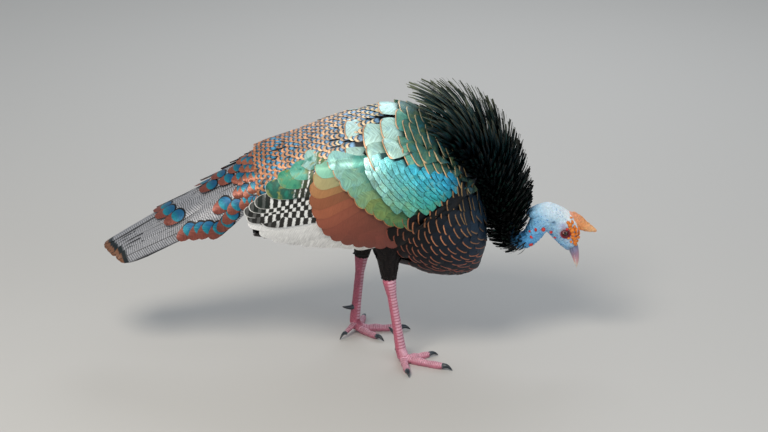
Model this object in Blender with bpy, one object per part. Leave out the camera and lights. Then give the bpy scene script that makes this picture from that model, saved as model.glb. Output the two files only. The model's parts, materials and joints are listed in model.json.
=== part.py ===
"""Ocellated turkey, a still, life-size model of a cock that feeds with its neck arched down.

Metres, +Z up. The bird faces +X, and its right side is -Y. The origin is on the floor, below
the middle of the whole bird. The solids reach from the floor to the surface of the plumage.
"""

import math

import bmesh
import bpy
import numpy as np

# Clearance that touching nodes keep.
GAP = 0.0003

# Torso stations: x, height of the axis, half width, reach up, reach down.
TORSO_STATIONS = (
    (-0.166, 0.250, 0.055, 0.062, 0.060),
    (-0.119, 0.258, 0.071, 0.077, 0.076),
    (-0.073, 0.266, 0.086, 0.089, 0.086),
    (-0.026, 0.273, 0.096, 0.101, 0.093),
    (0.020, 0.277, 0.102, 0.112, 0.102),
    (0.082, 0.270, 0.104, 0.131, 0.123),
    (0.129, 0.254, 0.102, 0.128, 0.125),
    (0.160, 0.238, 0.094, 0.108, 0.113),
    (0.190, 0.222, 0.078, 0.084, 0.092),
    (0.206, 0.212, 0.058, 0.062, 0.068),
    (0.216, 0.206, 0.026, 0.028, 0.032),
)
TORSO_RINGS = 19
TORSO_SIDES = 20
# Below 1, this packs the rings closer at the breast.
TORSO_PACKING = 0.85
RUMP_X = -0.150

# The folded wing lies on a wider form than the torso: x, height of the axis, half width, half height.
WING_STATIONS = (
    (-0.200, 0.235, 0.062, 0.080),
    (-0.160, 0.243, 0.074, 0.088),
    (-0.119, 0.252, 0.086, 0.096),
    (-0.073, 0.264, 0.096, 0.104),
    (-0.026, 0.275, 0.104, 0.112),
    (0.020, 0.282, 0.110, 0.120),
    (0.082, 0.282, 0.112, 0.130),
    (0.129, 0.276, 0.108, 0.130),
    (0.160, 0.270, 0.100, 0.126),
    (0.190, 0.262, 0.084, 0.118),
    (0.215, 0.250, 0.062, 0.110),
)
# Outline of the whole folded wing, as x and z, from the bend of the wing over the back to the tip.
WING_OUTLINE = (
    (0.197, 0.299),
    (0.175, 0.322),
    (0.141, 0.350),
    (0.104, 0.366),
    (0.066, 0.368),
    (0.029, 0.358),
    (-0.009, 0.342),
    (-0.042, 0.330),
    (-0.077, 0.319),
    (-0.112, 0.300),
    (-0.143, 0.272),
    (-0.157, 0.242),
    (-0.153, 0.219),
    (-0.129, 0.205),
    (-0.101, 0.199),
    (-0.071, 0.196),
    (-0.025, 0.197),
    (0.013, 0.201),
    (0.051, 0.205),
    (0.082, 0.216),
    (0.104, 0.237),
    (0.130, 0.257),
    (0.164, 0.271),
    (0.187, 0.285),
)
WING_HEART = (0.030, 0.275)
# Section of the cutter that holds the whole wing: share of the way, lift.
SHEATH_PROFILE = ((0.06, 0.006), (1.03, 0.006), (1.03, -0.006), (0.06, -0.006))
# The part of it that is one shield of small feathers, round its own heart.
SHIELD_OUTLINE = (
    (0.197, 0.299),
    (0.175, 0.322),
    (0.141, 0.350),
    (0.104, 0.366),
    (0.066, 0.366),
    (0.029, 0.352),
    (0.004, 0.336),
    (0.000, 0.318),
    (0.014, 0.294),
    (0.034, 0.268),
    (0.056, 0.243),
    (0.078, 0.226),
    (0.104, 0.240),
    (0.130, 0.257),
    (0.164, 0.271),
    (0.187, 0.285),
)
SHIELD_HEART = (0.092, 0.305)
# Section of the shield from its heart out and back underneath: share of the way, lift.
SHIELD_PROFILE = (
    (0.05, 0.0095),
    (0.50, 0.0090),
    (0.82, 0.0060),
    (1.0, 0.0010),
    (1.0, -0.0040),
    (0.82, -0.0140),
    (0.05, -0.0230),
)
# Tiers of the wing: count, first and last root, tips, half width, lift at root and tip, tilt.
WING_TIERS = {
    "secondary": (
        8,
        (0.024, 0.320),
        (0.072, 0.235),
        (
            (-0.107, 0.303),
            (-0.134, 0.286),
            (-0.152, 0.264),
            (-0.157, 0.242),
            (-0.152, 0.222),
            (-0.134, 0.210),
            (-0.106, 0.202),
            (-0.071, 0.198),
            (-0.025, 0.197),
            (0.020, 0.202),
        ),
        0.0178,
        (-0.0012, -0.0005),
        0.0011,
    ),
    "greater_covert": (
        7,
        (0.030, 0.328),
        (0.098, 0.252),
        (
            (-0.051, 0.313),
            (-0.054, 0.292),
            (-0.051, 0.270),
            (-0.040, 0.251),
            (-0.024, 0.2345),
            (-0.006, 0.2205),
            (0.015, 0.212),
            (0.036, 0.207),
            (0.059, 0.208),
        ),
        0.0165,
        (0.0026, 0.0034),
        0.0011,
    ),
    "median_covert": (
        5,
        (0.059, 0.356),
        (0.127, 0.275),
        (
            (-0.016, 0.338),
            (-0.015, 0.320),
            (-0.001, 0.298),
            (0.021, 0.276),
            (0.051, 0.256),
            (0.089, 0.2445),
        ),
        0.0195,
        (0.0060, 0.0068),
        0.0010,
    ),
}

# Tail: a ridge that falls backwards from TAIL_ORIGIN (x, z), with the feathers arched round it.
TAIL_ORIGIN = (-0.117, 0.334)
TAIL_PITCH = math.radians(31.5)
TAIL_LENGTH = 0.308
FAN_START = 0.095
# The rump ends as a filled arch: its half angle, lift over the fan and sag of its underside.
RUMP_EDGE = 1.30
RUMP_LIFT = 0.010
RUMP_SAG = 0.024
# Distance along the tail, radius of the arch.
TAIL_ARCH = ((0.0, 0.072), (0.08, 0.070), (0.20, 0.067), (0.304, 0.064))
# The quill bed that holds the fan: distance from FAN_START, half angle, low and high lift.
QUILL_BED = ((0.0, 1.38, -0.0130, 0.0004), (0.030, 1.36, -0.0110, 0.0004))
QUILL_INSET = 0.006
# Main tail feathers a side, their spread at root and tip, how much shorter the outermost is.
TAIL_PAIRS = 6
TAIL_SPREAD = (1.16, 0.84)
TAIL_STEP = 0.018
TAIL_HALF_WIDTH = 0.0190
TAIL_LIFT = -0.0032
TAIL_TILT = 0.0030
# Tiers of tail coverts: count, root and tip distance, spread, half width, lift, tilt.
COVERT_TIERS = (
    (7, 0.088, 0.196, 1.34, 0.0190, 0.0023, 0.0013),
    (7, 0.080, 0.150, 1.30, 0.0195, 0.0053, 0.0013),
    (6, 0.070, 0.112, 1.16, 0.0195, 0.0083, 0.0013),
)
COVERT_STEP = 0.012
# How much closer together the coverts' roots stand, and how much the feather on the ridge is raised.
COVERT_GATHER = 0.92
RIDGE_RISE = 0.8
VANE_THICK = 0.0006
# Shape of a vane: share of its length, share of its width.
VANE_SHAPE = ((0.0, 0.55), (0.62, 1.0), (0.92, 0.80), (1.0, 0.22))

# Neck axis in the middle plane: x, z.
NECK_AXIS = (
    (0.112, 0.318),
    (0.150, 0.330),
    (0.186, 0.316),
    (0.210, 0.284),
    (0.228, 0.240),
    (0.243, 0.203),
    (0.256, 0.183),
    (0.268, 0.178),
    (0.279, 0.180),
    (0.2875, 0.188),
    (0.2945, 0.199),
    (0.3010, 0.211),
    (0.3070, 0.222),
)
# Ruff: distance along the neck, reach over the nape, to the sides and under the throat, to the tips.
RUFF_REACH = (
    (0.000, 0.112, 0.060, 0.034),
    (0.040, 0.108, 0.060, 0.034),
    (0.078, 0.088, 0.057, 0.034),
    (0.118, 0.074, 0.052, 0.034),
    (0.166, 0.063, 0.046, 0.034),
    (0.206, 0.044, 0.037, 0.032),
    (0.230, 0.026, 0.026, 0.026),
)
RUFF_END = 0.232
# The neck's own flesh: distance along it, radius.
NECK_FLESH = ((0.0, 0.030), (0.10, 0.026), (0.20, 0.0170), (0.232, 0.0150))
# The solid core of the ruff ends at this share of the way from the flesh to the tips.
RUFF_CORE = 0.42
# Hackles: where the tips of each row stand along the neck, the first and last turn round it.
HACKLE_ROWS = (0.0, 0.024, 0.048, 0.073, 0.098, 0.124, 0.150, 0.177, 0.204)
HACKLE_TURNS = (math.radians(-18), math.radians(198))
HACKLE_COUNT = 8
# A hackle's root stands this share of its reach nearer to the head, sunk into the core.
HACKLE_LEAN = 0.62
HACKLE_SINK = -0.2
# Its bend: share of the way back to the tip's row, share of the way out.
HACKLE_BEND = (0.35, 0.78)
HACKLE_HALF_WIDTH = (0.0190, 0.0095)
HACKLE_SHAPE = ((0.12, 0.70), (0.58, 1.0), (1.0, 0.20))
HACKLE_THICK = (0.0016, 0.0006)
# Bare neck: distance along the neck, radius. Its nodules: distance, turn, radius.
SKIN_RADIUS = ((0.232, 0.0130), (0.250, 0.0135), (0.268, 0.0150), (0.285, 0.0170), (0.302, 0.0180))
SKIN_END = 0.302
NECK_SIDES = 14
SKIN_RINGS = 7
RUFF_RINGS = 10
SKIN_NODULES = ((0.247, 3.75, 0.0026), (0.258, 3.95, 0.0028), (0.268, 3.70, 0.0026))

# Head: its own axis runs from the occiput to the bill, pitched down from HEAD_CENTRE (x, z).
HEAD_CENTRE = (0.324, 0.208)
HEAD_PITCH = math.radians(52)
# Head stations: along the axis, height of the middle, half width, reach up, reach down.
HEAD_STATIONS = (
    (-0.0418, -0.0180, 0.0045, 0.0055, 0.0060),
    (-0.0395, -0.0170, 0.0100, 0.0122, 0.0115),
    (-0.0340, -0.0120, 0.0145, 0.0203, 0.0160),
    (-0.0250, -0.0050, 0.0165, 0.0215, 0.0180),
    (-0.0150, 0.0005, 0.0175, 0.0217, 0.0205),
    (0.0000, 0.0030, 0.0178, 0.0237, 0.0232),
    (0.0140, 0.0030, 0.0168, 0.0250, 0.0222),
    (0.0260, 0.0020, 0.0150, 0.0222, 0.0202),
    (0.0380, -0.0010, 0.0122, 0.0163, 0.0150),
    (0.0470, -0.0045, 0.0094, 0.0105, 0.0100),
)
HEAD_RINGS = 12
HEAD_SIDES = 16
BILL_LENGTH = 0.033
BILL_DROP = 0.015
# Sections of the bill: share of its length, half width, height of the upper half.
BILL_STATIONS = (
    (0.0, 0.0082, 0.0088),
    (0.3, 0.0070, 0.0080),
    (0.6, 0.0052, 0.0062),
    (0.85, 0.0026, 0.0034),
    (1.0, 0.0009, 0.0014),
)
# The lower half's length and height, as shares of the upper's.
LOWER_BILL = (0.86, 0.62)
EYE_PLACE = (0.0190, 0.0098, 0.0030)
EYE_RADIUS = 0.0070
# The ring of lids: its radius, its own thickness, how far aside of the eye, and its height to width.
EYELID = (0.0066, 0.0013, 0.0062, 0.86)
EYELID_STEPS = 10
EYELID_SIDES = 4
# Hollows: forward, aside, up, radius.
NOSTRIL = (0.0425, 0.0062, -0.0005, 0.0022)
EAR = (-0.0060, 0.0185, -0.0020, 0.0032)
# Nodules of the head: forward, aside, up, radius; those off the middle stand on both sides.
NODULES = (
    (-0.0066, 0.0125, -0.0145, 0.0030),
    (0.0053, 0.0135, -0.0122, 0.0026),
    (0.0160, 0.0115, -0.0133, 0.0024),
    (0.0185, 0.0125, 0.0178, 0.0026),
    (0.0290, 0.0115, 0.0130, 0.0028),
    (0.0370, 0.0090, 0.0108, 0.0028),
    (0.0440, 0.0070, 0.0056, 0.0022),
    (0.0330, 0.0038, 0.0182, 0.0030),
)
SNOOD_AXIS = ((0.344, 0.214), (0.354, 0.2135), (0.365, 0.208), (0.3745, 0.200), (0.3820, 0.1915))
SNOOD_RADII = (0.0070, 0.0070, 0.0058, 0.0044, 0.0026)

# Legs: hock and foot points, with the way that each foot points.
LEGS = {
    "right": {
        "side": -1,
        "hip": (0.062, -0.056, 0.225),
        "hock": (0.0655, -0.066, 0.137),
        "ball": (0.0865, -0.064, 0.0),
        "heading": math.radians(-26),
        "outer_turn": math.radians(-56),
    },
    "left": {
        "side": 1,
        "hip": (0.035, 0.056, 0.225),
        "hock": (0.0215, 0.064, 0.126),
        "ball": (0.0150, 0.0595, 0.0),
        "heading": math.radians(4),
        "outer_turn": math.radians(-75),
    },
}
# Shares of the way down the thigh, with the radius at each.
THIGH_RADII = ((0.0, 0.032), (0.35, 0.027), (0.7, 0.0185), (1.0, 0.0145))
SHANK_INSET = 0.010
# Shares of the way down the shank, with the radius at each.
SHANK_RADII = ((0.0, 0.0092), (0.09, 0.0108), (0.30, 0.0074), (0.75, 0.0074), (1.0, 0.0085))
ANKLE_HEIGHT = 0.024
ANKLE_BACK = 0.004
# Toes: turn from the heading towards the inner side, length without the claw, root radius.
# The outer toe's turn is the leg's own.
TOES = {
    "inner": (math.radians(50), 0.046, 0.0060),
    "middle": (math.radians(0), 0.070, 0.0066),
    "outer": (None, 0.050, 0.0060),
    "hind": (math.radians(131), 0.028, 0.0048),
}
# The soles lie this much under the floor's level before they are cut flat.
SOLE_SINK = 0.0007
# Along a front toe: share of its length, radius as a share of its root's; its root starts higher.
TOE_JOINTS = ((0.0, 1.15), (0.25, 0.92), (0.42, 1.04), (0.60, 0.84), (0.78, 0.94), (1.0, 0.74))
TOE_ROOT = (-0.0022, 0.0098)
TOE_TIP_RISE = 0.0015
# Along the hind toe: share of its length, height, radius as a share of its root's.
HIND_JOINTS = ((0.0, 0.0165, 1.0), (0.3, 0.0148, 1.0), (0.65, 0.0115, 0.85), (1.0, 0.0078, 0.72))
HIND_START = 0.004
# The ankle: straight on from the shank, then down to these heights over the ball of the foot.
ANKLE_STRAIGHT = 0.004
ANKLE_RADII = (0.0085, 0.0087, 0.0094, 0.0085)
ANKLE_LEVELS = (0.011, 0.006)
# Claws: length, root as a share of the toe's end, arch, height of the point's underside.
CLAW_LENGTH = 0.015
CLAW_ROOT = 0.86
CLAW_ARCH = 0.0012
CLAW_FLOOR = 0.0012
CLAW_SHARES = (0.0, 0.08, 0.3, 0.6, 0.85, 1.0)
# Spur: length, start off the shank's axis, share of the way up the shank, turn inwards, rise, radii.
SPUR_LENGTH = 0.022
SPUR_START = 0.004
SPUR_PLACE = 0.19
SPUR_TURN = math.radians(28)
SPUR_RISE = 0.004
SPUR_ROOT = 0.0046
POINT_RADIUS = 0.0005
SPUR_SHARES = (0.0, 0.3, 0.55, 0.8, 1.0)

# Colour, roughness and metallic share of each node, by the start of its name.
FINISHES = {
    "torso": ((0.07, 0.12, 0.13), 0.50, 0.2),
    "tail_feathers": ((0.42, 0.43, 0.44), 0.60, 0.0),
    "tail_coverts": ((0.35, 0.18, 0.12), 0.45, 0.2),
    "wing": ((0.32, 0.25, 0.16), 0.45, 0.2),
    "neck_ruff": ((0.02, 0.05, 0.05), 0.45, 0.2),
    "neck_skin": ((0.45, 0.62, 0.80), 0.50, 0.0),
    "head": ((0.50, 0.68, 0.85), 0.50, 0.0),
    "snood": ((0.88, 0.45, 0.25), 0.50, 0.0),
    "eye": ((0.05, 0.03, 0.02), 0.10, 0.0),
    "bill": ((0.55, 0.45, 0.48), 0.35, 0.0),
    "thigh": ((0.04, 0.05, 0.05), 0.55, 0.0),
    "shank": ((0.70, 0.30, 0.33), 0.45, 0.0),
    "foot": ((0.66, 0.30, 0.33), 0.45, 0.0),
    "spur": ((0.25, 0.30, 0.32), 0.35, 0.0),
    "claw": ((0.15, 0.20, 0.22), 0.35, 0.0),
}


def smooth_rows(rows, at):
    """Reads rows of (key, value, ...) as smooth curves, at the keys given."""
    table = np.array(rows, float)
    keys, values = table[:, 0], table[:, 1:]
    slopes = np.gradient(values, keys, axis=0)
    at = np.clip(np.atleast_1d(np.asarray(at, float)), keys[0], keys[-1])
    i = np.clip(np.searchsorted(keys, at) - 1, 0, len(keys) - 2)
    span = (keys[i + 1] - keys[i])[:, None]
    u = (at - keys[i])[:, None] / span
    return (
        (2 * u**3 - 3 * u**2 + 1) * values[i]
        + (u**3 - 2 * u**2 + u) * span * slopes[i]
        + (3 * u**2 - 2 * u**3) * values[i + 1]
        + (u**3 - u**2) * span * slopes[i + 1]
    )


def new_object(name, points, faces, collection):
    """A mesh object with its faces turned outwards."""
    mesh = bpy.data.meshes.new(name)
    mesh.from_pydata([tuple(map(float, p)) for p in points], [], faces)
    work = bmesh.new()
    work.from_mesh(mesh)
    bmesh.ops.recalc_face_normals(work, faces=work.faces)
    work.to_mesh(mesh)
    work.free()
    obj = bpy.data.objects.new(name, mesh)
    collection.objects.link(obj)
    return obj


def loft(name, rings, collection):
    """A closed body through rings of equal point counts, with a fan over each end."""
    rings = np.array(rings, float)
    count, sides = rings.shape[:2]
    points = [*rings.reshape(-1, 3), rings[0].mean(0), rings[-1].mean(0)]
    first, last = count * sides, count * sides + 1
    faces = []
    for i in range(count - 1):
        for j in range(sides):
            a, b = i * sides + j, i * sides + (j + 1) % sides
            faces += [(a, b, b + sides), (a, b + sides, a + sides)]
    for j in range(sides):
        k = (j + 1) % sides
        faces += [(first, k, j), (last, (count - 1) * sides + j, (count - 1) * sides + k)]
    return new_object(name, points, faces, collection)


def slab(name, top, low, collection):
    """A closed plate between two grids of points (rows, columns), split alike on both faces."""
    top, low = np.array(top, float), np.array(low, float)
    rows, cols = top.shape[:2]
    shift = rows * cols
    faces = []
    for i in range(rows - 1):
        for j in range(cols - 1):
            a = i * cols + j
            b, c, d = a + 1, a + cols, a + cols + 1
            halves = ((a, b, d), (a, d, c)) if j < cols // 2 else ((a, b, c), (b, d, c))
            for half in halves:
                faces.append(half)
                faces.append(tuple(p + shift for p in reversed(half)))
    rim = [(0, j) for j in range(cols)]
    rim += [(i, cols - 1) for i in range(1, rows)]
    rim += [(rows - 1, j) for j in range(cols - 2, -1, -1)]
    rim += [(i, 0) for i in range(rows - 2, 0, -1)]
    edge = [i * cols + j for i, j in rim]
    for a, b in zip(edge, edge[1:] + edge[:1]):
        faces += [(a, b, b + shift), (a, b + shift, a + shift)]
    return new_object(name, [*top.reshape(-1, 3), *low.reshape(-1, 3)], faces, collection)


def frozen(obj):
    """Replaces an object by its evaluated mesh, with its caps welded and its matrix kept."""
    graph = bpy.context.evaluated_depsgraph_get()
    mesh = bpy.data.meshes.new_from_object(obj.evaluated_get(graph))
    work = bmesh.new()
    work.from_mesh(mesh)
    bmesh.ops.remove_doubles(work, verts=work.verts, dist=1e-6)
    bmesh.ops.triangulate(work, faces=work.faces)
    work.to_mesh(mesh)
    work.free()
    name, matrix, collection = obj.name, obj.matrix_world.copy(), obj.users_collection[0]
    bpy.data.objects.remove(obj)
    made = bpy.data.objects.new(name, mesh)
    made.matrix_world = matrix
    collection.objects.link(made)
    return made


def tube(name, points, radii, collection, resolution=2):
    """A round tube along points, with its own radius at each."""
    curve = bpy.data.curves.new(name, "CURVE")
    curve.dimensions = "3D"
    curve.bevel_depth = 1.0
    curve.bevel_resolution = resolution
    curve.use_fill_caps = True
    spline = curve.splines.new("POLY")
    spline.points.add(len(points) - 1)
    for point, place, radius in zip(spline.points, points, radii):
        point.co = (*place, 1.0)
        point.radius = radius
    obj = bpy.data.objects.new(name, curve)
    collection.objects.link(obj)
    bpy.context.view_layer.update()
    return frozen(obj)


def largest_body(obj):
    """Leaves only the largest closed surface of an object."""
    work = bmesh.new()
    work.from_mesh(obj.data)
    left, bodies = set(work.verts), []
    while left:
        body, edge = set(), [left.pop()]
        while edge:
            vert = edge.pop()
            body.add(vert)
            for link in vert.link_edges:
                other = link.other_vert(vert)
                if other in left:
                    left.discard(other)
                    edge.append(other)
        bodies.append(body)
    keep = max(bodies, key=lambda body: sum(f.calc_area() for v in body for f in v.link_faces))
    bmesh.ops.delete(work, geom=[v for v in work.verts if v not in keep], context="VERTS")
    work.to_mesh(obj.data)
    work.free()
    return obj


def fuse(obj, pieces, collection, solver="EXACT"):
    """Joins pieces to an object by one Boolean union, and removes them."""
    if not pieces:
        return obj
    group = bpy.data.collections.new(obj.name + "_pieces")
    for piece in pieces:
        for old in piece.users_collection:
            old.objects.unlink(piece)
        group.objects.link(piece)
    collection.children.link(group)
    join = obj.modifiers.new("join", "BOOLEAN")
    join.operation = "UNION"
    join.operand_type = "COLLECTION"
    join.solver = solver
    join.collection = group
    bpy.context.view_layer.update()
    joined = frozen(obj)
    for piece in list(group.objects):
        bpy.data.objects.remove(piece)
    bpy.data.collections.remove(group)
    return largest_body(joined)


def cut(obj, cutters):
    """Takes the cutters' shapes out of an object, and keeps its largest body."""
    for cutter in cutters:
        trim = obj.modifiers.new("trim", "BOOLEAN")
        trim.operation = "DIFFERENCE"
        trim.object = cutter
    bpy.context.view_layer.update()
    return largest_body(frozen(obj))


def vane(name, place, half_width, tilt, collection, cols=2):
    """A flat feather on a surface, which place(share, offset, lift) gives, tilted like a shingle."""
    top, low = [], []
    for share, part in VANE_SHAPE:
        sides = np.linspace(-1, 1, cols)
        lifts = tilt * sides
        top.append([place(share, s * part * half_width, h + VANE_THICK / 2) for s, h in zip(sides, lifts)])
        low.append([place(share, s * part * half_width, h - VANE_THICK / 2) for s, h in zip(sides, lifts)])
    return slab(name, top, low, collection)


def lock(name, root, bend, tip, across, half_width, collection):
    """A flat, tapered hackle that bends from its root to its tip."""
    top, low = [], []
    for share, part in HACKLE_SHAPE:
        centre = (1 - share) ** 2 * root + 2 * share * (1 - share) * bend + share**2 * tip
        run = (1 - share) * (bend - root) + share * (tip - bend)
        face = np.cross(run, across)
        face /= np.linalg.norm(face)
        thick = HACKLE_THICK[0] * (1 - share) + HACKLE_THICK[1] * share
        pair = [centre + side * half_width * part * across for side in (-1, 1)]
        top.append([p + face * thick / 2 for p in pair])
        low.append([p - face * thick / 2 for p in pair])
    return slab(name, top, low, collection)


def along_line(points, share):
    """The point at a share of the length of a broken line."""
    table = np.array(points, float)
    steps = np.r_[0, np.cumsum(np.linalg.norm(np.diff(table, axis=0), axis=1))]
    return np.array([np.interp(share * steps[-1], steps, column) for column in table.T])


def material(name, colour, roughness, metallic):
    """A plain finish for the solids."""
    made = bpy.data.materials.new(name)
    made.use_nodes = True
    shader = made.node_tree.nodes["Principled BSDF"]
    shader.inputs["Base Color"].default_value = (*colour, 1.0)
    shader.inputs["Roughness"].default_value = roughness
    shader.inputs["Metallic"].default_value = metallic
    made.diffuse_color = (*colour, 1.0)
    return made


def ellipse_ring(x, middle, wide, up, down, sides, grow=0.0):
    """A ring in the plane across X, with its own reach up and down."""
    turn = np.linspace(0, 2 * math.pi, sides, endpoint=False)
    across, rise = np.cos(turn), np.sin(turn)
    reach = np.where(rise > 0, up + grow, down + grow)
    return np.stack([np.full(sides, x), (wide + grow) * across, middle + reach * rise], -1)


def torso(name, collection, grow=0.0):
    """The trunk, from the flat rump plane to the breast, grown outwards for a cutter."""
    spread = np.linspace(0, 1, TORSO_RINGS)
    front = TORSO_STATIONS[-1][0]
    places = RUMP_X + (front - RUMP_X) * np.sin(spread * math.pi / 2) ** TORSO_PACKING
    rings = []
    for x, (middle, wide, up, down) in zip(places, smooth_rows(TORSO_STATIONS, places)):
        rings.append(ellipse_ring(x, middle, wide, up, down, TORSO_SIDES, grow))
    rings[0][:, 0] -= grow
    rings[-1][:, 0] += grow
    return loft(name, rings, collection)


def wing_point(x, z, lift, side):
    """A point on the form that the wing lies on, lifted off it along its normal."""
    middle, wide, high = smooth_rows(WING_STATIONS, np.atleast_1d(x)).T
    level = (z - middle) / high
    root = np.sqrt(np.maximum(1 - level**2, 0.04))
    normal = np.stack([np.zeros_like(root), root / wide, level / high], -1)
    normal /= np.linalg.norm(normal, axis=-1, keepdims=True)
    place = np.stack([np.broadcast_to(x, root.shape), wide * root, np.broadcast_to(z, root.shape)], -1)
    place = place + normal * np.reshape(lift, (-1, 1))
    return place * np.array([1.0, side, 1.0])


def wing_sheath(name, side, collection):
    """A cutter that holds the whole folded wing, for the feathers that pass under its tip."""
    outline, heart = np.array(WING_OUTLINE), np.array(WING_HEART)
    rings = []
    for share, lift in SHEATH_PROFILE:
        places = heart + (outline - heart) * share
        rings.append(wing_point(places[:, 0], places[:, 1], np.full(len(places), lift), side))
    return loft(name, rings, collection)


def shield(name, side, collection):
    """The shoulder and the small coverts, one pillow over the flank."""
    outline, heart = np.array(SHIELD_OUTLINE), np.array(SHIELD_HEART)
    rings = []
    for share, lift in SHIELD_PROFILE:
        places = heart + (outline - heart) * share
        rings.append(wing_point(places[:, 0], places[:, 1], np.full(len(places), lift), side))
    return loft(name, rings, collection)


def wing_tier(name, tier, side, collection):
    """A row of overlapping wing feathers, each one over the next below it."""
    count, first, last, tips, half_width, lifts, tilt = WING_TIERS[tier]
    vanes = []
    for i in range(count):
        share = i / (count - 1)
        root = np.array(first) * (1 - share) + np.array(last) * share
        tip = along_line(tips, share)
        ahead = (tip - root) / np.linalg.norm(tip - root)
        above = np.array([ahead[1], -ahead[0]])

        def place(part, offset, lift, root=root, tip=tip, above=above):
            flat = root + (tip - root) * part + above * offset
            rise = lifts[0] * (1 - part) + lifts[1] * part + lift
            return wing_point(flat[0], flat[1], rise, side)[0]

        vanes.append(vane(f"{name}_{tier}_{i}", place, half_width, -tilt, collection))
    return vanes


def wing(name, side, cutters, collection):
    """The folded wing: a shield of small feathers, with three tiers of long ones from under it."""
    feathers = []
    for tier in WING_TIERS:
        feathers += wing_tier(name, tier, side, collection)
    return cut(fuse(shield(name, side, collection), feathers, collection), cutters)


def tail_point(along, turn, lift):
    """A point of the tail's arch: distance along it, angle from the ridge, height off the fan."""
    along, turn, lift = np.broadcast_arrays(along, turn, lift)
    radius = smooth_rows(TAIL_ARCH, along.ravel())[:, 0].reshape(along.shape)
    back = np.array([-math.cos(TAIL_PITCH), 0.0, -math.sin(TAIL_PITCH)])
    out = np.array([-math.sin(TAIL_PITCH), 0.0, math.cos(TAIL_PITCH)])
    origin = np.array([TAIL_ORIGIN[0], 0.0, TAIL_ORIGIN[1]])
    rise = (radius + lift) * np.cos(turn) - radius
    aside = (radius + lift) * np.sin(turn)
    return (
        origin
        + along[..., None] * back
        + rise[..., None] * out
        + aside[..., None] * np.array([0.0, 1.0, 0.0])
    )


def arch_slab(name, rows, sides, collection):
    """A plate bent round the tail's arch, from rows of (distance, half angle, low and high lift)."""
    top, low = [], []
    for shift, half_turn, under, over in rows:
        turns = np.linspace(-half_turn, half_turn, sides)
        top.append(tail_point(FAN_START + shift, turns, over))
        low.append(tail_point(FAN_START + shift, turns, under))
    return slab(name, top, low, collection)


def tail_vane(name, reach, turns, lift, half_width, tilt, collection):
    """A feather of the tail's arch, from root to tip as (along, along) and (turn, turn)."""

    def place(part, offset, rise):
        along = reach[0] + (reach[1] - reach[0]) * part
        radius = smooth_rows(TAIL_ARCH, along)[0, 0]
        turn = turns[0] + (turns[1] - turns[0]) * part + offset / (radius + lift)
        return tail_point(along, turn, lift + rise)

    return vane(name, place, half_width, tilt, collection, cols=3)


def tail_feathers(name, collection):
    """The folded fan of the tail, each feather over the next one out."""
    bed = arch_slab(name, QUILL_BED, 11, collection)
    vanes = []
    for i in range(-TAIL_PAIRS, TAIL_PAIRS + 1):
        share = i / TAIL_PAIRS
        reach = (FAN_START + QUILL_INSET, TAIL_LENGTH - TAIL_STEP * share**2)
        turns = [spread * share for spread in TAIL_SPREAD]
        lift = TAIL_LIFT + (0.0 if i else TAIL_TILT * RIDGE_RISE)
        tilt = TAIL_TILT * np.sign(i)
        vanes.append(tail_vane(f"{name}_{i}", reach, turns, lift, TAIL_HALF_WIDTH, tilt, collection))
    return fuse(bed, vanes, collection)


def rump_ring(share, sides, grow):
    """A ring of the rump, from the trunk's flat end (0) to the start of the fan (1)."""
    x = RUMP_X - GAP + grow
    middle, wide, up, down = smooth_rows(TORSO_STATIONS, [RUMP_X])[0]
    start = ellipse_ring(x, middle, wide, up, down, sides, grow)
    turn = np.linspace(0, 2 * math.pi, sides, endpoint=False)
    along = FAN_START - GAP + grow
    lift = RUMP_LIFT + grow
    top = tail_point(along, (math.pi / 2 - turn) / (math.pi / 2) * RUMP_EDGE, lift)
    corners = tail_point(along, np.array([RUMP_EDGE, -RUMP_EDGE]), lift)
    across = (1 - np.cos(turn))[:, None] / 2
    sag = RUMP_SAG * np.sin(turn)[:, None] * np.array([-math.sin(TAIL_PITCH), 0.0, math.cos(TAIL_PITCH)])
    low = corners[0] * (1 - across) + corners[1] * across + sag
    end = np.where((np.sin(turn) >= -1e-9)[:, None], top, low)
    return start * (1 - share) + end * share


def rump(name, collection, grow=0.0):
    """The rump, grown outwards for a cutter."""
    rings = [rump_ring(share, 24, grow) for share in (0.0, 0.25, 0.5, 0.75, 1.0)]
    return loft(name, rings, collection)


def tail_coverts(name, cutters, collection):
    """The rump, and the tiers of coverts that it sends over the root of the tail."""
    vanes = []
    for tier, (count, root, tip, spread, half_width, lift, tilt) in enumerate(COVERT_TIERS):
        for i in range(count):
            share = 2 * i / (count - 1) - 1
            side = np.sign(round(share, 6))
            reach = (root, tip - COVERT_STEP * share**2)
            turns = (spread * share * COVERT_GATHER, spread * share)
            raised = lift + (0.0 if side else tilt * RIDGE_RISE)
            label = f"{name}_{tier}_{i}"
            vanes.append(tail_vane(label, reach, turns, raised, half_width, tilt * side, collection))
    return cut(fuse(rump(name, collection), vanes, collection), cutters)


def neck_line():
    """The neck axis as closely spaced points, with the distance along it."""
    table = np.array(NECK_AXIS)
    steps = np.r_[0, np.cumsum(np.linalg.norm(np.diff(table, axis=0), axis=1))]
    rows = np.column_stack([steps, table])
    fine = np.linspace(0, steps[-1], 200)
    return fine, smooth_rows(rows, fine)


def neck_frame(along):
    """Place, tangent and nape direction of the neck, at a distance along it."""
    fine, line = neck_line()
    slope = np.gradient(line, fine, axis=0)
    x, z = (np.interp(along, fine, line[:, k]) for k in (0, 1))
    tx, tz = (np.interp(along, fine, slope[:, k]) for k in (0, 1))
    size = math.hypot(tx, tz)
    place = np.array([x, 0.0, z])
    return place, np.array([tx, 0.0, tz]) / size, np.array([-tz, 0.0, tx]) / size


def skin_point(along, turn):
    """A point of the bare neck."""
    place, _, over = neck_frame(along)
    radius = smooth_rows(SKIN_RADIUS, along)[0, 0]
    return place + radius * (math.sin(turn) * over + math.cos(turn) * np.array([0.0, 1.0, 0.0]))


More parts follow.
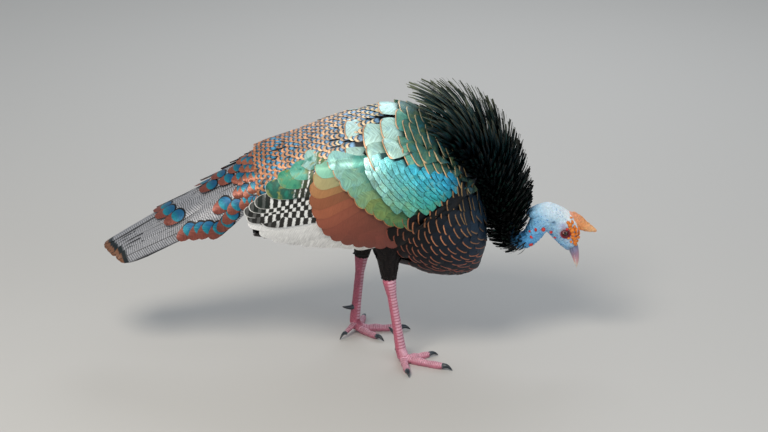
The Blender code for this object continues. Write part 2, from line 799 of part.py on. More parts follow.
def neck_skin(name, cutters, collection):
    """The bare neck between the ruff and the head, with a few nodules."""
    turns = np.linspace(0, 2 * math.pi, NECK_SIDES, endpoint=False)
    places = np.linspace(RUFF_END, SKIN_END, SKIN_RINGS)
    rings = [[skin_point(along, turn) for turn in turns] for along in places]
    warts = []
    for i, (along, turn, radius) in enumerate(SKIN_NODULES):
        for turned in (turn, 3 * math.pi - turn):
            warts.append(nodule(f"{name}_{i}_{turned:.1f}", skin_point(along, turned), radius, collection))
    return cut(fuse(loft(name, rings, collection), warts, collection), cutters)


def ruff_point(along, turn, share):
    """A point of the ruff: distance along the neck, turn round it, share of the way to the tips."""
    place, _, over = neck_frame(along)
    flesh = smooth_rows(NECK_FLESH, along)[0, 0]
    nape, wide, throat = flesh + (smooth_rows(RUFF_REACH, along)[0] - flesh) * share
    rise = math.sin(turn)
    reach = (nape if rise > 0 else throat) * rise
    return place + reach * over + wide * math.cos(turn) * np.array([0.0, 1.0, 0.0])


def hackle(name, tip_along, turn, collection):
    """A raised neck feather, with its root nearer to the head than its tip."""
    lean = HACKLE_LEAN * (np.linalg.norm(ruff_point(tip_along, turn, 1.0) - ruff_point(tip_along, turn, 0.0)))
    root_along = min(tip_along + lean, RUFF_END - 0.004)
    tip = ruff_point(tip_along, turn, 1.0)
    root = ruff_point(root_along, turn, HACKLE_SINK)
    back, out = HACKLE_BEND
    bend = ruff_point(tip_along * back + root_along * (1 - back), turn, out)
    step = ruff_point(tip_along, turn + 0.05, 1.0) - ruff_point(tip_along, turn - 0.05, 1.0)
    across = step / np.linalg.norm(step)
    half_width = np.interp(tip_along, (0, HACKLE_ROWS[-1]), HACKLE_HALF_WIDTH)
    return lock(name, root, bend, tip, across, half_width, collection)


def neck_ruff(name, trunk, collection):
    """The feathered neck, with its hackles raised in rows."""
    rings = []
    turns = np.linspace(0, 2 * math.pi, NECK_SIDES, endpoint=False)
    for along in np.linspace(0.0, RUFF_END - GAP, RUFF_RINGS):
        rings.append([ruff_point(along, turn, RUFF_CORE) for turn in turns])
    core = loft(name, rings, collection)
    hackles = []
    for row, tip_along in enumerate(HACKLE_ROWS):
        count = HACKLE_COUNT - row % 2
        inset = (row % 2) / (2 * (HACKLE_COUNT - 1))
        for i in range(count):
            share = inset + i / (HACKLE_COUNT - 1)
            turn = HACKLE_TURNS[0] + (HACKLE_TURNS[1] - HACKLE_TURNS[0]) * share
            hackles.append(hackle(f"{name}_{row}_{i}", tip_along, turn, collection))
    return cut(fuse(core, hackles, collection), [trunk])


def head_axes():
    """Origin and the forward, side and up directions of the head."""
    forward = np.array([math.cos(HEAD_PITCH), 0.0, -math.sin(HEAD_PITCH)])
    up = np.array([math.sin(HEAD_PITCH), 0.0, math.cos(HEAD_PITCH)])
    return np.array([HEAD_CENTRE[0], 0.0, HEAD_CENTRE[1]]), forward, np.array([0.0, 1.0, 0.0]), up


def head_place(forward, aside, up):
    """A point of the head's own frame in the model's frame."""
    origin, ahead, side, rise = head_axes()
    return origin + forward * ahead + aside * side + up * rise


def head_form(name, collection, grow=0.0):
    """The head without its trimmings, grown outwards for a cutter."""
    places = np.linspace(HEAD_STATIONS[0][0], HEAD_STATIONS[-1][0], HEAD_RINGS)
    rings = []
    for x, (middle, wide, up, down) in zip(places, smooth_rows(HEAD_STATIONS, places)):
        ring = ellipse_ring(x, middle, wide, up, down, HEAD_SIDES, grow)
        rings.append([head_place(*p) for p in ring])
    _, ahead, _, _ = head_axes()
    rings[0] = np.array(rings[0]) - grow * ahead
    rings[-1] = np.array(rings[-1]) + grow * ahead
    return loft(name, rings, collection)


def ball(name, place, radius, collection, segments=10, rings=6):
    """A sphere."""
    mesh = bpy.data.meshes.new(name)
    work = bmesh.new()
    bmesh.ops.create_uvsphere(work, u_segments=segments, v_segments=rings, radius=radius)
    bmesh.ops.triangulate(work, faces=work.faces)
    work.to_mesh(mesh)
    work.free()
    obj = bpy.data.objects.new(name, mesh)
    obj.location = place
    collection.objects.link(obj)
    return obj


def nodule(name, place, radius, collection):
    """A small round wart."""
    mesh = bpy.data.meshes.new(name)
    work = bmesh.new()
    bmesh.ops.create_icosphere(work, subdivisions=1, radius=radius)
    work.to_mesh(mesh)
    work.free()
    obj = bpy.data.objects.new(name, mesh)
    obj.location = place
    collection.objects.link(obj)
    return obj


def eyelid(name, side, collection):
    """The ring of lids round an eye."""
    large, small, aside, flat = EYELID
    centre = np.array([EYE_PLACE[0], side * (EYE_PLACE[1] + aside), EYE_PLACE[2]])
    points = []
    for t in np.linspace(0, 2 * math.pi, EYELID_STEPS, endpoint=False):
        for u in np.linspace(0, 2 * math.pi, EYELID_SIDES, endpoint=False):
            reach = large + small * math.cos(u)
            shift = [reach * math.cos(t), side * small * math.sin(u), reach * math.sin(t) * flat]
            points.append(head_place(*(centre + shift)))
    faces = []
    for i in range(EYELID_STEPS):
        this, after = i * EYELID_SIDES, (i + 1) % EYELID_STEPS * EYELID_SIDES
        for j in range(EYELID_SIDES):
            k = (j + 1) % EYELID_SIDES
            faces += [(this + j, this + k, after + k), (this + j, after + k, after + j)]
    return new_object(name, points, faces, collection)


def head_nodules(name, collection, grow=0.0):
    """The nodules of the head on both sides, grown outwards for cutters."""
    warts = []
    for i, (forward, aside, up, radius) in enumerate(NODULES):
        for side in (-1, 1):
            place = head_place(forward, side * aside, up)
            warts.append(nodule(f"{name}_{i}_{side}", place, radius + grow, collection))
    return warts


def head(name, eyes, tools, collection):
    """The bare head with its nodules, lids, ears and nostrils."""
    warts = head_nodules("wart", collection)
    for side in (-1, 1):
        warts.append(eyelid(f"lid_{side}", side, collection))
    hollows = list(eyes)
    for side in (-1, 1):
        for label, (forward, aside, up, radius) in (("nostril", NOSTRIL), ("ear", EAR)):
            hollows.append(ball(label, head_place(forward, side * aside, up), radius, tools, 6, 5))
    return cut(fuse(head_form(name, collection), warts, collection), hollows)


def block(name, place, size, collection):
    """A cube."""
    mesh = bpy.data.meshes.new(name)
    work = bmesh.new()
    bmesh.ops.create_cube(work, size=size)
    work.to_mesh(mesh)
    work.free()
    obj = bpy.data.objects.new(name, mesh)
    obj.location = place
    collection.objects.link(obj)
    return obj


def bill_half(name, upper, collection):
    """One mandible, meeting the other along a flat gape."""
    rings = []
    way = 1 if upper else -1
    length, height = (1.0, 1.0) if upper else LOWER_BILL
    base, level = HEAD_STATIONS[-1][:2]
    turn = way * np.linspace(0, math.pi, 9)
    for share, wide, high in BILL_STATIONS:
        reach = share * length
        x = base + GAP + reach * BILL_LENGTH
        gape = level - BILL_DROP * reach * (0.55 + 0.45 * share) + way * GAP / 2
        depth = high * height
        rings.append([head_place(x, wide * math.cos(t), gape + depth * math.sin(t)) for t in turn])
    return loft(name, rings, collection)


def leg_points(leg):
    """Hip, hock and ankle of a leg as arrays."""
    ahead = np.array([math.cos(leg["heading"]), math.sin(leg["heading"]), 0.0])
    ankle = np.array(leg["ball"]) - ahead * ANKLE_BACK + np.array([0.0, 0.0, ANKLE_HEIGHT])
    return np.array(leg["hip"]), np.array(leg["hock"]), ankle


def thigh_form(name, leg, collection, grow=0.0):
    """The feathered thigh, grown outwards for a cutter."""
    hip, hock, _ = leg_points(leg)
    places = [hip + (hock - hip) * share for share, _ in THIGH_RADII]
    return tube(name, places, [radius + grow for _, radius in THIGH_RADII], collection, 4)


def shank(name, leg, collection, grow=0.0):
    """The scaled shank, from inside the thigh's end to the ankle."""
    _, hock, ankle = leg_points(leg)
    down = (ankle - hock) / np.linalg.norm(ankle - hock)
    top = hock - down * (SHANK_INSET + grow)
    places = [top + (ankle - top) * share for share, _ in SHANK_RADII]
    return tube(name, places, [radius + grow for _, radius in SHANK_RADII], collection, 4)


def toe_line(leg, toe):
    """Points and radii of one toe."""
    turn, length, radius = TOES[toe]
    turn = leg["outer_turn"] if turn is None else turn
    way = leg["heading"] - leg["side"] * turn
    ahead = np.array([math.cos(way), math.sin(way), 0.0])
    root = np.array(leg["ball"])
    if toe == "hind":
        places = [root + ahead * (HIND_START + length * share) + [0, 0, h] for share, h, _ in HIND_JOINTS]
        return places, [radius * size for _, _, size in HIND_JOINTS]
    radii = [radius * size for _, size in TOE_JOINTS]
    places = []
    for (share, _), size in zip(TOE_JOINTS, radii):
        places.append(root + ahead * length * share + [0, 0, size - SOLE_SINK])
    back, height = TOE_ROOT
    places[0] = root + ahead * back + [0, 0, height]
    places[-1][2] += TOE_TIP_RISE
    return places, radii


def foot(name, leg, floor, collection):
    """The ankle and four toes, with flat soles at the floor."""
    base = np.array(leg["ball"])
    _, hock, ankle = leg_points(leg)
    down = (ankle - hock) / np.linalg.norm(ankle - hock)
    top = ankle + down * GAP
    places = [top, top + down * ANKLE_STRAIGHT, *(base + [0, 0, level] for level in ANKLE_LEVELS)]
    core = tube(name, places, ANKLE_RADII, collection, 2)
    pieces = []
    for toe in TOES:
        places, radii = toe_line(leg, toe)
        pieces.append(tube(f"{name}_{toe}", places, radii, collection, 2))
    return cut(fuse(core, pieces, collection, "MANIFOLD"), [floor])


def claw(name, leg, toe, collection):
    """A curved claw, which starts flat against the end of its toe."""
    places, radii = toe_line(leg, toe)
    end = places[-1]
    run = (end - places[-2]) / np.linalg.norm(end - places[-2])
    start = end + run * GAP
    points, sizes = [], []
    for i, share in enumerate(CLAW_SHARES):
        point = start + run * CLAW_LENGTH * share
        size = radii[-1] * CLAW_ROOT * (1 - share) ** 0.8 + POINT_RADIUS * share
        arch = start[2] + CLAW_ARCH * math.sin(math.pi * share)
        if i > 1:
            point[2] = arch * (1 - share**2) + (CLAW_FLOOR + size) * share**2
        points.append(point)
        sizes.append(size)
    return tube(name, points, sizes, collection, 2)


def spur(name, leg, blocker, collection):
    """The cock's spur, behind and inside the shank."""
    _, hock, ankle = leg_points(leg)
    root = ankle + (hock - ankle) * SPUR_PLACE
    way = leg["heading"] + math.pi + leg["side"] * SPUR_TURN
    back = np.array([math.cos(way), math.sin(way), 0.0])
    points, sizes = [], []
    for share in SPUR_SHARES:
        points.append(root + back * (SPUR_START + SPUR_LENGTH * share) + [0, 0, SPUR_RISE * share**2])
        sizes.append(SPUR_ROOT * (1 - share) ** 0.75 + POINT_RADIUS)
    return cut(tube(name, points, sizes, collection, 2), [blocker])


def main():
    """Builds every node in a collection of its own, with the cutters in another."""
    for obj in list(bpy.data.objects):
        bpy.data.objects.remove(obj)
    bird = bpy.data.collections.new("ocellated_turkey")
    tools = bpy.data.collections.new("cutters")
    for group in (bird, tools):
        bpy.context.scene.collection.children.link(group)

    trunk = torso("trunk_cutter", tools, GAP)
    skull = head_form("head_cutter", tools, GAP)
    warts = head_nodules("wart_cutter", tools, 2 * GAP)
    floor = block("floor_cutter", (0, 0, -0.5), 1.0, tools)

    nodes = {}
    nodes["torso"] = torso("torso", bird)
    nodes["tail_feathers"] = tail_feathers("tail_feathers", bird)
    sheaths = [wing_sheath(f"sheath_cutter_{side}", side, tools) for side in (-1, 1)]
    nodes["tail_coverts"] = tail_coverts("tail_coverts", sheaths, bird)
    behind = rump("rump_cutter", tools, GAP)
    for label, leg in LEGS.items():
        muscle = thigh_form("thigh_cutter_" + label, leg, tools, GAP)
        nodes["wing_" + label] = wing("wing_" + label, leg["side"], [trunk, behind, muscle], bird)
    nodes["neck_ruff"] = neck_ruff("neck_ruff", trunk, bird)
    nodes["neck_skin"] = neck_skin("neck_skin", [skull, *warts], bird)
    sockets = []
    for side in (-1, 1):
        place = head_place(EYE_PLACE[0], side * EYE_PLACE[1], EYE_PLACE[2])
        sockets.append(ball("socket", place, EYE_RADIUS + GAP, tools, 10, 7))
    nodes["head"] = head("head", sockets, tools, bird)
    for label, side in (("right", -1), ("left", 1)):
        place = head_place(EYE_PLACE[0], side * EYE_PLACE[1], EYE_PLACE[2])
        nodes["eye_" + label] = ball("eye_" + label, place, EYE_RADIUS, bird, 10, 7)
    points = [(x, 0.0, z) for x, z in SNOOD_AXIS]
    nodes["snood"] = cut(tube("snood", points, SNOOD_RADII, bird, 3), [skull])
    nodes["bill_upper"] = bill_half("bill_upper", True, bird)
    nodes["bill_lower"] = bill_half("bill_lower", False, bird)
    for label, leg in LEGS.items():
        blocker = shank("shank_cutter_" + label, leg, tools, GAP)
        nodes["thigh_" + label] = cut(thigh_form("thigh_" + label, leg, bird), [trunk, blocker])
        nodes["shank_" + label] = shank("shank_" + label, leg, bird)
        nodes["foot_" + label] = foot("foot_" + label, leg, floor, bird)
        nodes["spur_" + label] = spur("spur_" + label, leg, blocker, bird)
        for toe in TOES:
            name = f"claw_{toe}_{label}"
            nodes[name] = claw(name, leg, toe, bird)
    for cutter in tools.objects:
        cutter.hide_render = True
        cutter.display_type = "WIRE"
    for name, obj in nodes.items():
        start = next(start for start in FINISHES if name.startswith(start))
        obj.data.materials.append(material(name + "_finish", *FINISHES[start]))


main()
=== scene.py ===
"""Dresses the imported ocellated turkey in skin, feathers, horn and scales, in a plain studio.

Metres, +Z up, in the frame of the CAD model: the bird faces +X and its right side is -Y. Tables that say
millimetres are turned into metres where they are read.
"""

from __future__ import annotations

import json
import logging
import math
from collections.abc import Callable, Iterator, Sequence
from dataclasses import dataclass
from enum import Enum

import bmesh
import bpy
import numpy as np
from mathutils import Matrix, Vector
from mathutils.bvhtree import BVHTree

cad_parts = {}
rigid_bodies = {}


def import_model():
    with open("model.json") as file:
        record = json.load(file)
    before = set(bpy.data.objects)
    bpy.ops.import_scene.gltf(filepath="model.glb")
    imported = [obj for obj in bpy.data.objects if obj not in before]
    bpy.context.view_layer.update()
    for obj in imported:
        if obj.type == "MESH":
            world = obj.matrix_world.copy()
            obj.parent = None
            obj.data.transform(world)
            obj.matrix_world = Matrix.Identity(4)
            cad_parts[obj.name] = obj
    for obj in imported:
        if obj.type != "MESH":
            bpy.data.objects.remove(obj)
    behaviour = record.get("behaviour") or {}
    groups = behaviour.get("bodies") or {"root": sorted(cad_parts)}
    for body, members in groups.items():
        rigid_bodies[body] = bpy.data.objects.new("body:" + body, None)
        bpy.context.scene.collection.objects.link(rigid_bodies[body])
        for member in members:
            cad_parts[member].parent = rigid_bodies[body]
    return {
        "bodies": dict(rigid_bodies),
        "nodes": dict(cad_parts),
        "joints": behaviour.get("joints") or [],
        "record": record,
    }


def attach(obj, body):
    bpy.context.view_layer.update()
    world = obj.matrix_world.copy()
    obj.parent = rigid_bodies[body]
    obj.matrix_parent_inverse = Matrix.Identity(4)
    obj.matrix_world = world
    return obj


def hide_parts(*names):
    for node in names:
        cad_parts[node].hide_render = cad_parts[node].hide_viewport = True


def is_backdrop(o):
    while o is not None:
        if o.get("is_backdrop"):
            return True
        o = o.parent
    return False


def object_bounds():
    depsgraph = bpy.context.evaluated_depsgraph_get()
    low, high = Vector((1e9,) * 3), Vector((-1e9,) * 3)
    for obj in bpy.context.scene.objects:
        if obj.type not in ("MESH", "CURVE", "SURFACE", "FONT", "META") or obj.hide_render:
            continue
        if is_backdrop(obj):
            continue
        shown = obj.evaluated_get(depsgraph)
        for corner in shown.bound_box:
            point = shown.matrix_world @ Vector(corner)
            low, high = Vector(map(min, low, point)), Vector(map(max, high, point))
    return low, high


LOG = logging.getLogger("turkey")
Array, Random = np.ndarray, np.random.Generator
Arrays, Pair, Triple = tuple[Array, Array], tuple[float, float], tuple[float, float, float]
Tree = bpy.types.NodeTree
Thing, Material, Node, Socket = bpy.types.Object, bpy.types.Material, bpy.types.Node, bpy.types.NodeSocket
SEED = 20
TURN = 2 * math.pi


class Side(Enum):
    """A side of the bird, as the sign of Y."""

    RIGHT = -1
    LEFT = 1

    @property
    def flip(self) -> Array:
        """Gives the factors that bring a place on the left to this side."""
        return np.array([1.0, self.value, 1.0])

    @property
    def label(self) -> str:
        """Gives the side's name as the CAD nodes have it."""
        return self.name.lower()


# Numbers and colours


def mm(table: Sequence) -> Array:
    """Turns a table in millimetres into metres."""
    return np.round(np.array(table, float) / 1000, 7)


def linear(hue: str) -> Array:
    """Turns an sRGB hex value, such as "#A0583C", into linear red, green and blue."""
    value = np.array([int(hue[i : i + 2], 16) / 255 for i in (1, 3, 5)])
    return np.where(value <= 0.04045, value / 12.92, ((value + 0.055) / 1.055) ** 2.4)


def ramp(hues: Sequence[tuple[float, str]], at: Array) -> Array:
    """Reads a colour for each number from a few named ones.

    Args:
        hues: Rising keys, each with an sRGB hex value.
        at: The numbers to read at.

    Returns:
        One row of linear colour for each number.
    """
    keys, named = zip(*hues)
    table = np.array([linear(hue) for hue in named])
    return np.stack([np.interp(at, keys, column) for column in table.T], -1)


def smooth_rows(rows: Sequence[Sequence[float]], at: Array | float) -> Array:
    """Reads rows of (key, value, ...) as smooth curves.

    Args:
        rows: The rows, by rising key.
        at: The keys to read at, clipped to the table's ends.

    Returns:
        The values, with one row for each key.
    """
    table = np.array(rows, float)
    keys, values = table[:, 0], table[:, 1:]
    slopes = np.gradient(values, keys, axis=0)
    at = np.clip(np.atleast_1d(np.asarray(at, float)), keys[0], keys[-1])
    i = np.clip(np.searchsorted(keys, at) - 1, 0, len(keys) - 2)
    span = (keys[i + 1] - keys[i])[:, None]
    u = (at - keys[i])[:, None] / span
    return (
        (2 * u**3 - 3 * u**2 + 1) * values[i] + (u**3 - 2 * u**2 + u) * span * slopes[i]
        + (3 * u**2 - 2 * u**3) * values[i + 1] + (u**3 - u**2) * span * slopes[i + 1]
    )


def along_line(points: Sequence[Sequence[float]], shares: Array) -> Array:
    """Reads points at shares of the length of a broken line.

    Args:
        points: The corners of the line.
        shares: Numbers from 0 to 1.

    Returns:
        One point for each share.
    """
    table = np.array(points, float)
    steps = np.r_[0, np.cumsum(np.linalg.norm(np.diff(table, axis=0), axis=1))]
    return np.stack([np.interp(shares * steps[-1], steps, column) for column in table.T], -1)


def unit(vectors: Array) -> Array:
    """Scales vectors to a length of 1."""
    return vectors / np.maximum(np.linalg.norm(vectors, axis=-1, keepdims=True), 1e-9)


def grow(value: Array, start: float, span: float) -> Array:
    """Rises from 0 at the start to 1 a span further, or falls so where the span is negative."""
    return np.clip((value - start) / span, 0, 1)


def bump_of(distance: Array, radius: float) -> Array:
    """Gives a soft bell of height 1 and the radius named."""
    return np.exp(-((distance / radius) ** 2) * 1.6)


def ripple(points: Array, pitch: float, seed: int) -> Array:
    """Gives soft, irregular waves from -1 to 1 through space.

    Args:
        points: Places.
        pitch: The waves' mean length.
        seed: Which set of waves.

    Returns:
        One number for each place.
    """
    source = np.random.default_rng(seed)
    total = np.zeros(len(points))
    for _ in range(7):
        way = unit(source.normal(0, 1, 3)) * 2 * math.pi / pitch * source.uniform(0.7, 1.4)
        total = total + np.sin(points @ way + source.uniform(0, TURN))
    return total / 7 * 1.6


# Meshes


def shown(name: str, data: bpy.types.ID) -> Thing:
    """Puts a mesh, lamp or camera in the scene as an object."""
    bpy.context.scene.collection.objects.link(obj := bpy.data.objects.new(name, data))
    return obj


def put_mesh(name: str, points: Array, faces: Sequence[Sequence[int]]) -> Thing:
    """Makes a smooth-shaded object whose faces look outwards.

    Args:
        name: Its name.
        points: Its vertices.
        faces: Its faces, as vertex numbers.

    Returns:
        The object.
    """
    mesh = bpy.data.meshes.new(name)
    mesh.from_pydata(np.asarray(points).tolist(), [], [tuple(int(v) for v in face) for face in faces])
    work = bmesh.new()
    work.from_mesh(mesh)
    bmesh.ops.recalc_face_normals(work, faces=work.faces)
    work.to_mesh(mesh)
    work.free()
    mesh.shade_smooth()
    return shown(name, mesh)


def ring_faces(rings: int, sides: int, start: int = 0) -> list[tuple[int, ...]]:
    """Lists the faces of a closed loft.

    Args:
        rings: How many rings it has.
        sides: How many points each ring has.
        start: The number of its first point.

    Returns:
        Its quads and its two end caps.
    """
    faces = []
    for i in range(rings - 1):
        for j in range(sides):
            k = (j + 1) % sides
            a, b = start + i * sides, start + (i + 1) * sides
            faces.append((a + j, a + k, b + k, b + j))
    faces.append(tuple(start + np.arange(sides)[::-1]))
    faces.append(tuple(start + (rings - 1) * sides + np.arange(sides)))
    return faces


def loft(name: str, rings: Array) -> Thing:
    """Lofts rings of points, as (ring, point, 3), into a closed form."""
    return put_mesh(name, rings.reshape(-1, 3), ring_faces(*rings.shape[:2]))


def round_ring(sides: int) -> Array:
    """Gives the angles of a ring's points."""
    return np.linspace(0, TURN, sides, endpoint=False)


def tube_rings(points: Array, radii: Array, sides: int) -> Array:
    """Sets rings round a line.

    Args:
        points: The line's points.
        radii: The radius at each.
        sides: How many points a ring has.

    Returns:
        The rings as (ring, point, 3).
    """
    way = unit(np.gradient(points, axis=0))
    across = np.cross(way, np.array([0.0, 0.0, 1.0]))
    thin = np.linalg.norm(across, axis=1) < 0.2
    across[thin] = np.cross(way[thin], np.array([1.0, 0.0, 0.0]))
    across = unit(across)
    over = np.cross(across, way)
    turn = round_ring(sides)[None, :, None]
    reach = np.asarray(radii)[:, None, None]
    return points[:, None, :] + reach * (np.cos(turn) * across[:, None, :] + np.sin(turn) * over[:, None, :])


def places_of(obj: Thing) -> Arrays:
    """Reads the places and normals of an object's vertices.

    Args:
        obj: The object.

    Returns:
        The places, and the normals.
    """
    mesh = obj.data
    places, normals = np.empty(len(mesh.vertices) * 3), np.empty(len(mesh.vertices) * 3)
    mesh.vertices.foreach_get("co", places)
    mesh.vertex_normals.foreach_get("vector", normals)
    return places.reshape(-1, 3), normals.reshape(-1, 3)


def move_to(obj: Thing, places: Array) -> None:
    """Writes an object's vertices back."""
    obj.data.vertices.foreach_set("co", places.ravel())
    obj.data.update()


def tint_with(obj: Thing, colours: Array, material: Material) -> Thing:
    """Gives a piece a linear colour at each vertex, and its finish.

    Args:
        obj: The piece.
        colours: One colour for each vertex.
        material: The finish.

    Returns:
        The piece.
    """
    rows = np.column_stack([np.clip(colours, 0, 1), np.ones(len(colours))])
    obj.data.attributes.new("tint", "FLOAT_COLOR", "POINT").data.foreach_set("color", rows.ravel())
    obj.data.materials.clear()
    obj.data.materials.append(material)
    return obj


def apply_modifiers(obj: Thing) -> Thing:
    """Applies an object's modifiers.

    Args:
        obj: The object.

    Returns:
        The same object, with its new mesh shaded smooth.
    """
    bpy.context.view_layer.update()
    graph = bpy.context.evaluated_depsgraph_get()
    mesh = bpy.data.meshes.new_from_object(obj.evaluated_get(graph))
    old = obj.data
    obj.modifiers.clear()
    obj.data = mesh
    bpy.data.meshes.remove(old)
    mesh.name = obj.name
    mesh.shade_smooth()
    return obj


def remesh(name: str, sources: Sequence[Thing], voxel: float, smooth: int) -> Thing:
    """Melts closed meshes into one smooth skin, without the crumbs that a melt leaves.

    Args:
        name: The name of the new object.
        sources: The closed meshes.
        voxel: The size of the skin's faces.
        smooth: How often it is smoothed.

    Returns:
        The new object, in the scene's collection.
    """
    work = bmesh.new()
    for source in sources:
        work.from_mesh(source.data)
    mesh = bpy.data.meshes.new(name)
    work.to_mesh(mesh)
    obj = shown(name, mesh)
    melt = obj.modifiers.new("melt", "REMESH")
    melt.mode, melt.voxel_size, melt.adaptivity = "VOXEL", voxel, 0.0
    soften = obj.modifiers.new("soften", "SMOOTH")
    soften.factor, soften.iterations = 0.5, smooth
    apply_modifiers(obj)
    work.clear()
    work.from_mesh(obj.data)
    left, parts = set(work.verts), []
    while left:
        front = [left.pop()]
        part = set(front)
        while front:
            near = {edge.other_vert(vert) for vert in front for edge in vert.link_edges} & left
            left -= near
            part |= near
            front = list(near)
        parts.append(part)
    crumbs = [vert for part in sorted(parts, key=len)[:-1] for vert in part]
    bmesh.ops.delete(work, geom=crumbs, context="VERTS")
    work.to_mesh(obj.data)
    work.free()
    return obj


# Forms that feathers lie on


class MeshForm:
    """A smooth closed surface that feathers can be settled on."""

    def __init__(self, obj: Thing) -> None:
        """Reads an object's mesh into a search tree.

        Args:
            obj: The object, whose matrix is the identity.
        """
        places, normals = places_of(obj)
        faces = [tuple(p.vertices) for p in obj.data.polygons]
        self.tree = BVHTree.FromPolygons(places.tolist(), faces)
        self.normals = unit(np.array([normals[list(face)].mean(0) for face in faces]))

    def settle(self, points: Array) -> Arrays:
        """Moves points to the nearest place on the surface.

        Args:
            points: Points, with x, y and z last.

        Returns:
            The places and the surface's normals there.
        """
        flat = points.reshape(-1, 3)
        places, normals = np.empty_like(flat), np.empty_like(flat)
        for i, point in enumerate(flat):
            hit, _, face, _ = self.tree.find_nearest(Vector(point))
            places[i], normals[i] = hit, self.normals[face]
        return places.reshape(points.shape), normals.reshape(points.shape)

    def cast(self, starts: Array, ways: Array) -> Arrays:
        """Finds where rays first meet the surface.

        Args:
            starts: The points that the rays start from.
            ways: The directions of the rays.

        Returns:
            The hits, and a mask of the rays that have one.
        """
        hits, met = np.zeros_like(starts), np.zeros(len(starts), bool)
        for i, (start, way) in enumerate(zip(starts, ways)):
            hit, _, face, _ = self.tree.ray_cast(Vector(start), Vector(way))
            if face is not None:
                hits[i], met[i] = hit, True
        return hits[met], met


@dataclass(frozen=True)
class WingForm:
    """The curved shape that the folded wing lies on."""

    # Millimetres: x, height of the axis, half width, half height.
    stations: tuple = (
        (-200, 235, 62, 80), (-160, 243, 74, 88), (-119, 252, 86, 96), (-73, 264, 96, 104),
        (-26, 275, 104, 112), (20, 282, 110, 120), (82, 282, 112, 130), (129, 276, 108, 130),
        (160, 270, 100, 126), (190, 262, 84, 118), (215, 250, 62, 110)
    )

    def point(self, x: Array, z: Array, lift: Array, side: Side) -> Array:
        """Reads points of the shape, lifted along its normal.

        Args:
            x: Places along the bird.
            z: Heights.
            lift: Distances off the shape.
            side: The side of the bird.

        Returns:
            The points, with x, y and z last.
        """
        x, z, lift = np.broadcast_arrays(x, z, lift)
        middle, wide, high = (row.reshape(x.shape) for row in smooth_rows(mm(self.stations), x.ravel()).T)
        level = (z - middle) / high
        root = np.sqrt(np.maximum(1 - level**2, 0.04))
        normal = unit(np.stack([np.zeros_like(root), root / wide, level / high], -1))
        return (np.stack([x, wide * root, z], -1) + normal * lift[..., None]) * side.flip


@dataclass(frozen=True)
class TailForm:
    """The arch that the tail and its coverts lie on, which falls backwards from the rump."""

    origin: tuple = (-0.117, 0.334)
    pitch: float = math.radians(31.5)
    arch: tuple = ((-0.05, 0.078), (0.0, 0.072), (0.08, 0.07), (0.2, 0.067), (0.304, 0.064))

    def point(self, along: Array, turn: Array, lift: Array) -> Array:
        """Reads points of the arch.

        Args:
            along: Distances backwards along the ridge.
            turn: Angles from the ridge.
            lift: Distances off the arch.

        Returns:
            The points, with x, y and z last.
        """
        along, turn, lift = np.broadcast_arrays(along, turn, lift)
        radius = smooth_rows(self.arch, along.ravel())[:, 0].reshape(along.shape)
        back = np.array([-math.cos(self.pitch), 0.0, -math.sin(self.pitch)])
        out = np.array([-math.sin(self.pitch), 0.0, math.cos(self.pitch)])
        rise = (radius + lift) * np.cos(turn) - radius
        aside = (radius + lift) * np.sin(turn)
        start = np.array([self.origin[0], 0.0, self.origin[1]])
        across = np.array([0.0, 1.0, 0.0])
        return start + along[..., None] * back + rise[..., None] * out + aside[..., None] * across


@dataclass(frozen=True)
class NeckForm:
    """The arched neck with its ruff, by distance along it and turn round it."""

    # Millimetres: x and z of the axis.
    axis: tuple = (
        (112, 318), (150, 330), (186, 316), (210, 284), (228, 240), (243, 203), (256, 183), (268, 178),
        (279, 180), (287.5, 188), (294.5, 199), (301, 211), (307, 222)
    )
    # Millimetres: distance along the neck, reach over the nape, to the sides and under the throat.
    reach: tuple = (
        (0, 112, 60, 34), (40, 108, 60, 34), (78, 88, 57, 34), (118, 74, 52, 34), (166, 63, 46, 34),
        (206, 44, 37, 32), (230, 26, 26, 26)
    )
    # Millimetres: distance along the neck, radius of the bare neck.
    flesh: tuple = (
        (0, 30), (100, 26), (200, 16), (232, 13), (250, 13.2), (268, 14.6), (285, 16.6), (302, 18)
    )
    ruff_end: float = 0.232

    def frame(self, along: Array) -> Arrays:
        """Reads the axis.

        Args:
            along: Distances along the neck.

        Returns:
            Places, and directions towards the nape.
        """
        table = mm(self.axis)
        steps = np.r_[0, np.cumsum(np.linalg.norm(np.diff(table, axis=0), axis=1))]
        fine = np.linspace(0, steps[-1], 400)
        line = smooth_rows(np.column_stack([steps, table]), fine)
        slope = np.gradient(line, fine, axis=0)
        x, z, tx, tz = (np.interp(along, fine, rows[:, k]) for rows in (line, slope) for k in (0, 1))
        zero = np.zeros_like(x)
        return np.stack([x, zero, z], -1), unit(np.stack([-tz, zero, tx], -1))

    def point(self, along: Array, turn: Array, share: Array) -> Array:
        """Reads points between the flesh and the ruff's tips.

        Args:
            along: Distances along the neck.
            turn: Angles, with a quarter turn at the nape.
            share: 0 at the flesh and 1 at the tips.

        Returns:
            The points, with x, y and z last.
        """
        along, turn, share = np.broadcast_arrays(along, turn, share)
        place, over = self.frame(along)
        flesh = smooth_rows(mm(self.flesh), along.ravel()).reshape(*along.shape, 1)
        reach = smooth_rows(mm(self.reach), along.ravel()).reshape(*along.shape, 3)
        nape, wide, throat = np.moveaxis(flesh + (reach - flesh) * share[..., None], -1, 0)
        up = np.where(np.sin(turn) > 0, nape, throat) * np.sin(turn)
        aside = wide * np.cos(turn)
        return place + up[..., None] * over + aside[..., None] * np.array([0.0, 1.0, 0.0])


# Finishes of the feathers


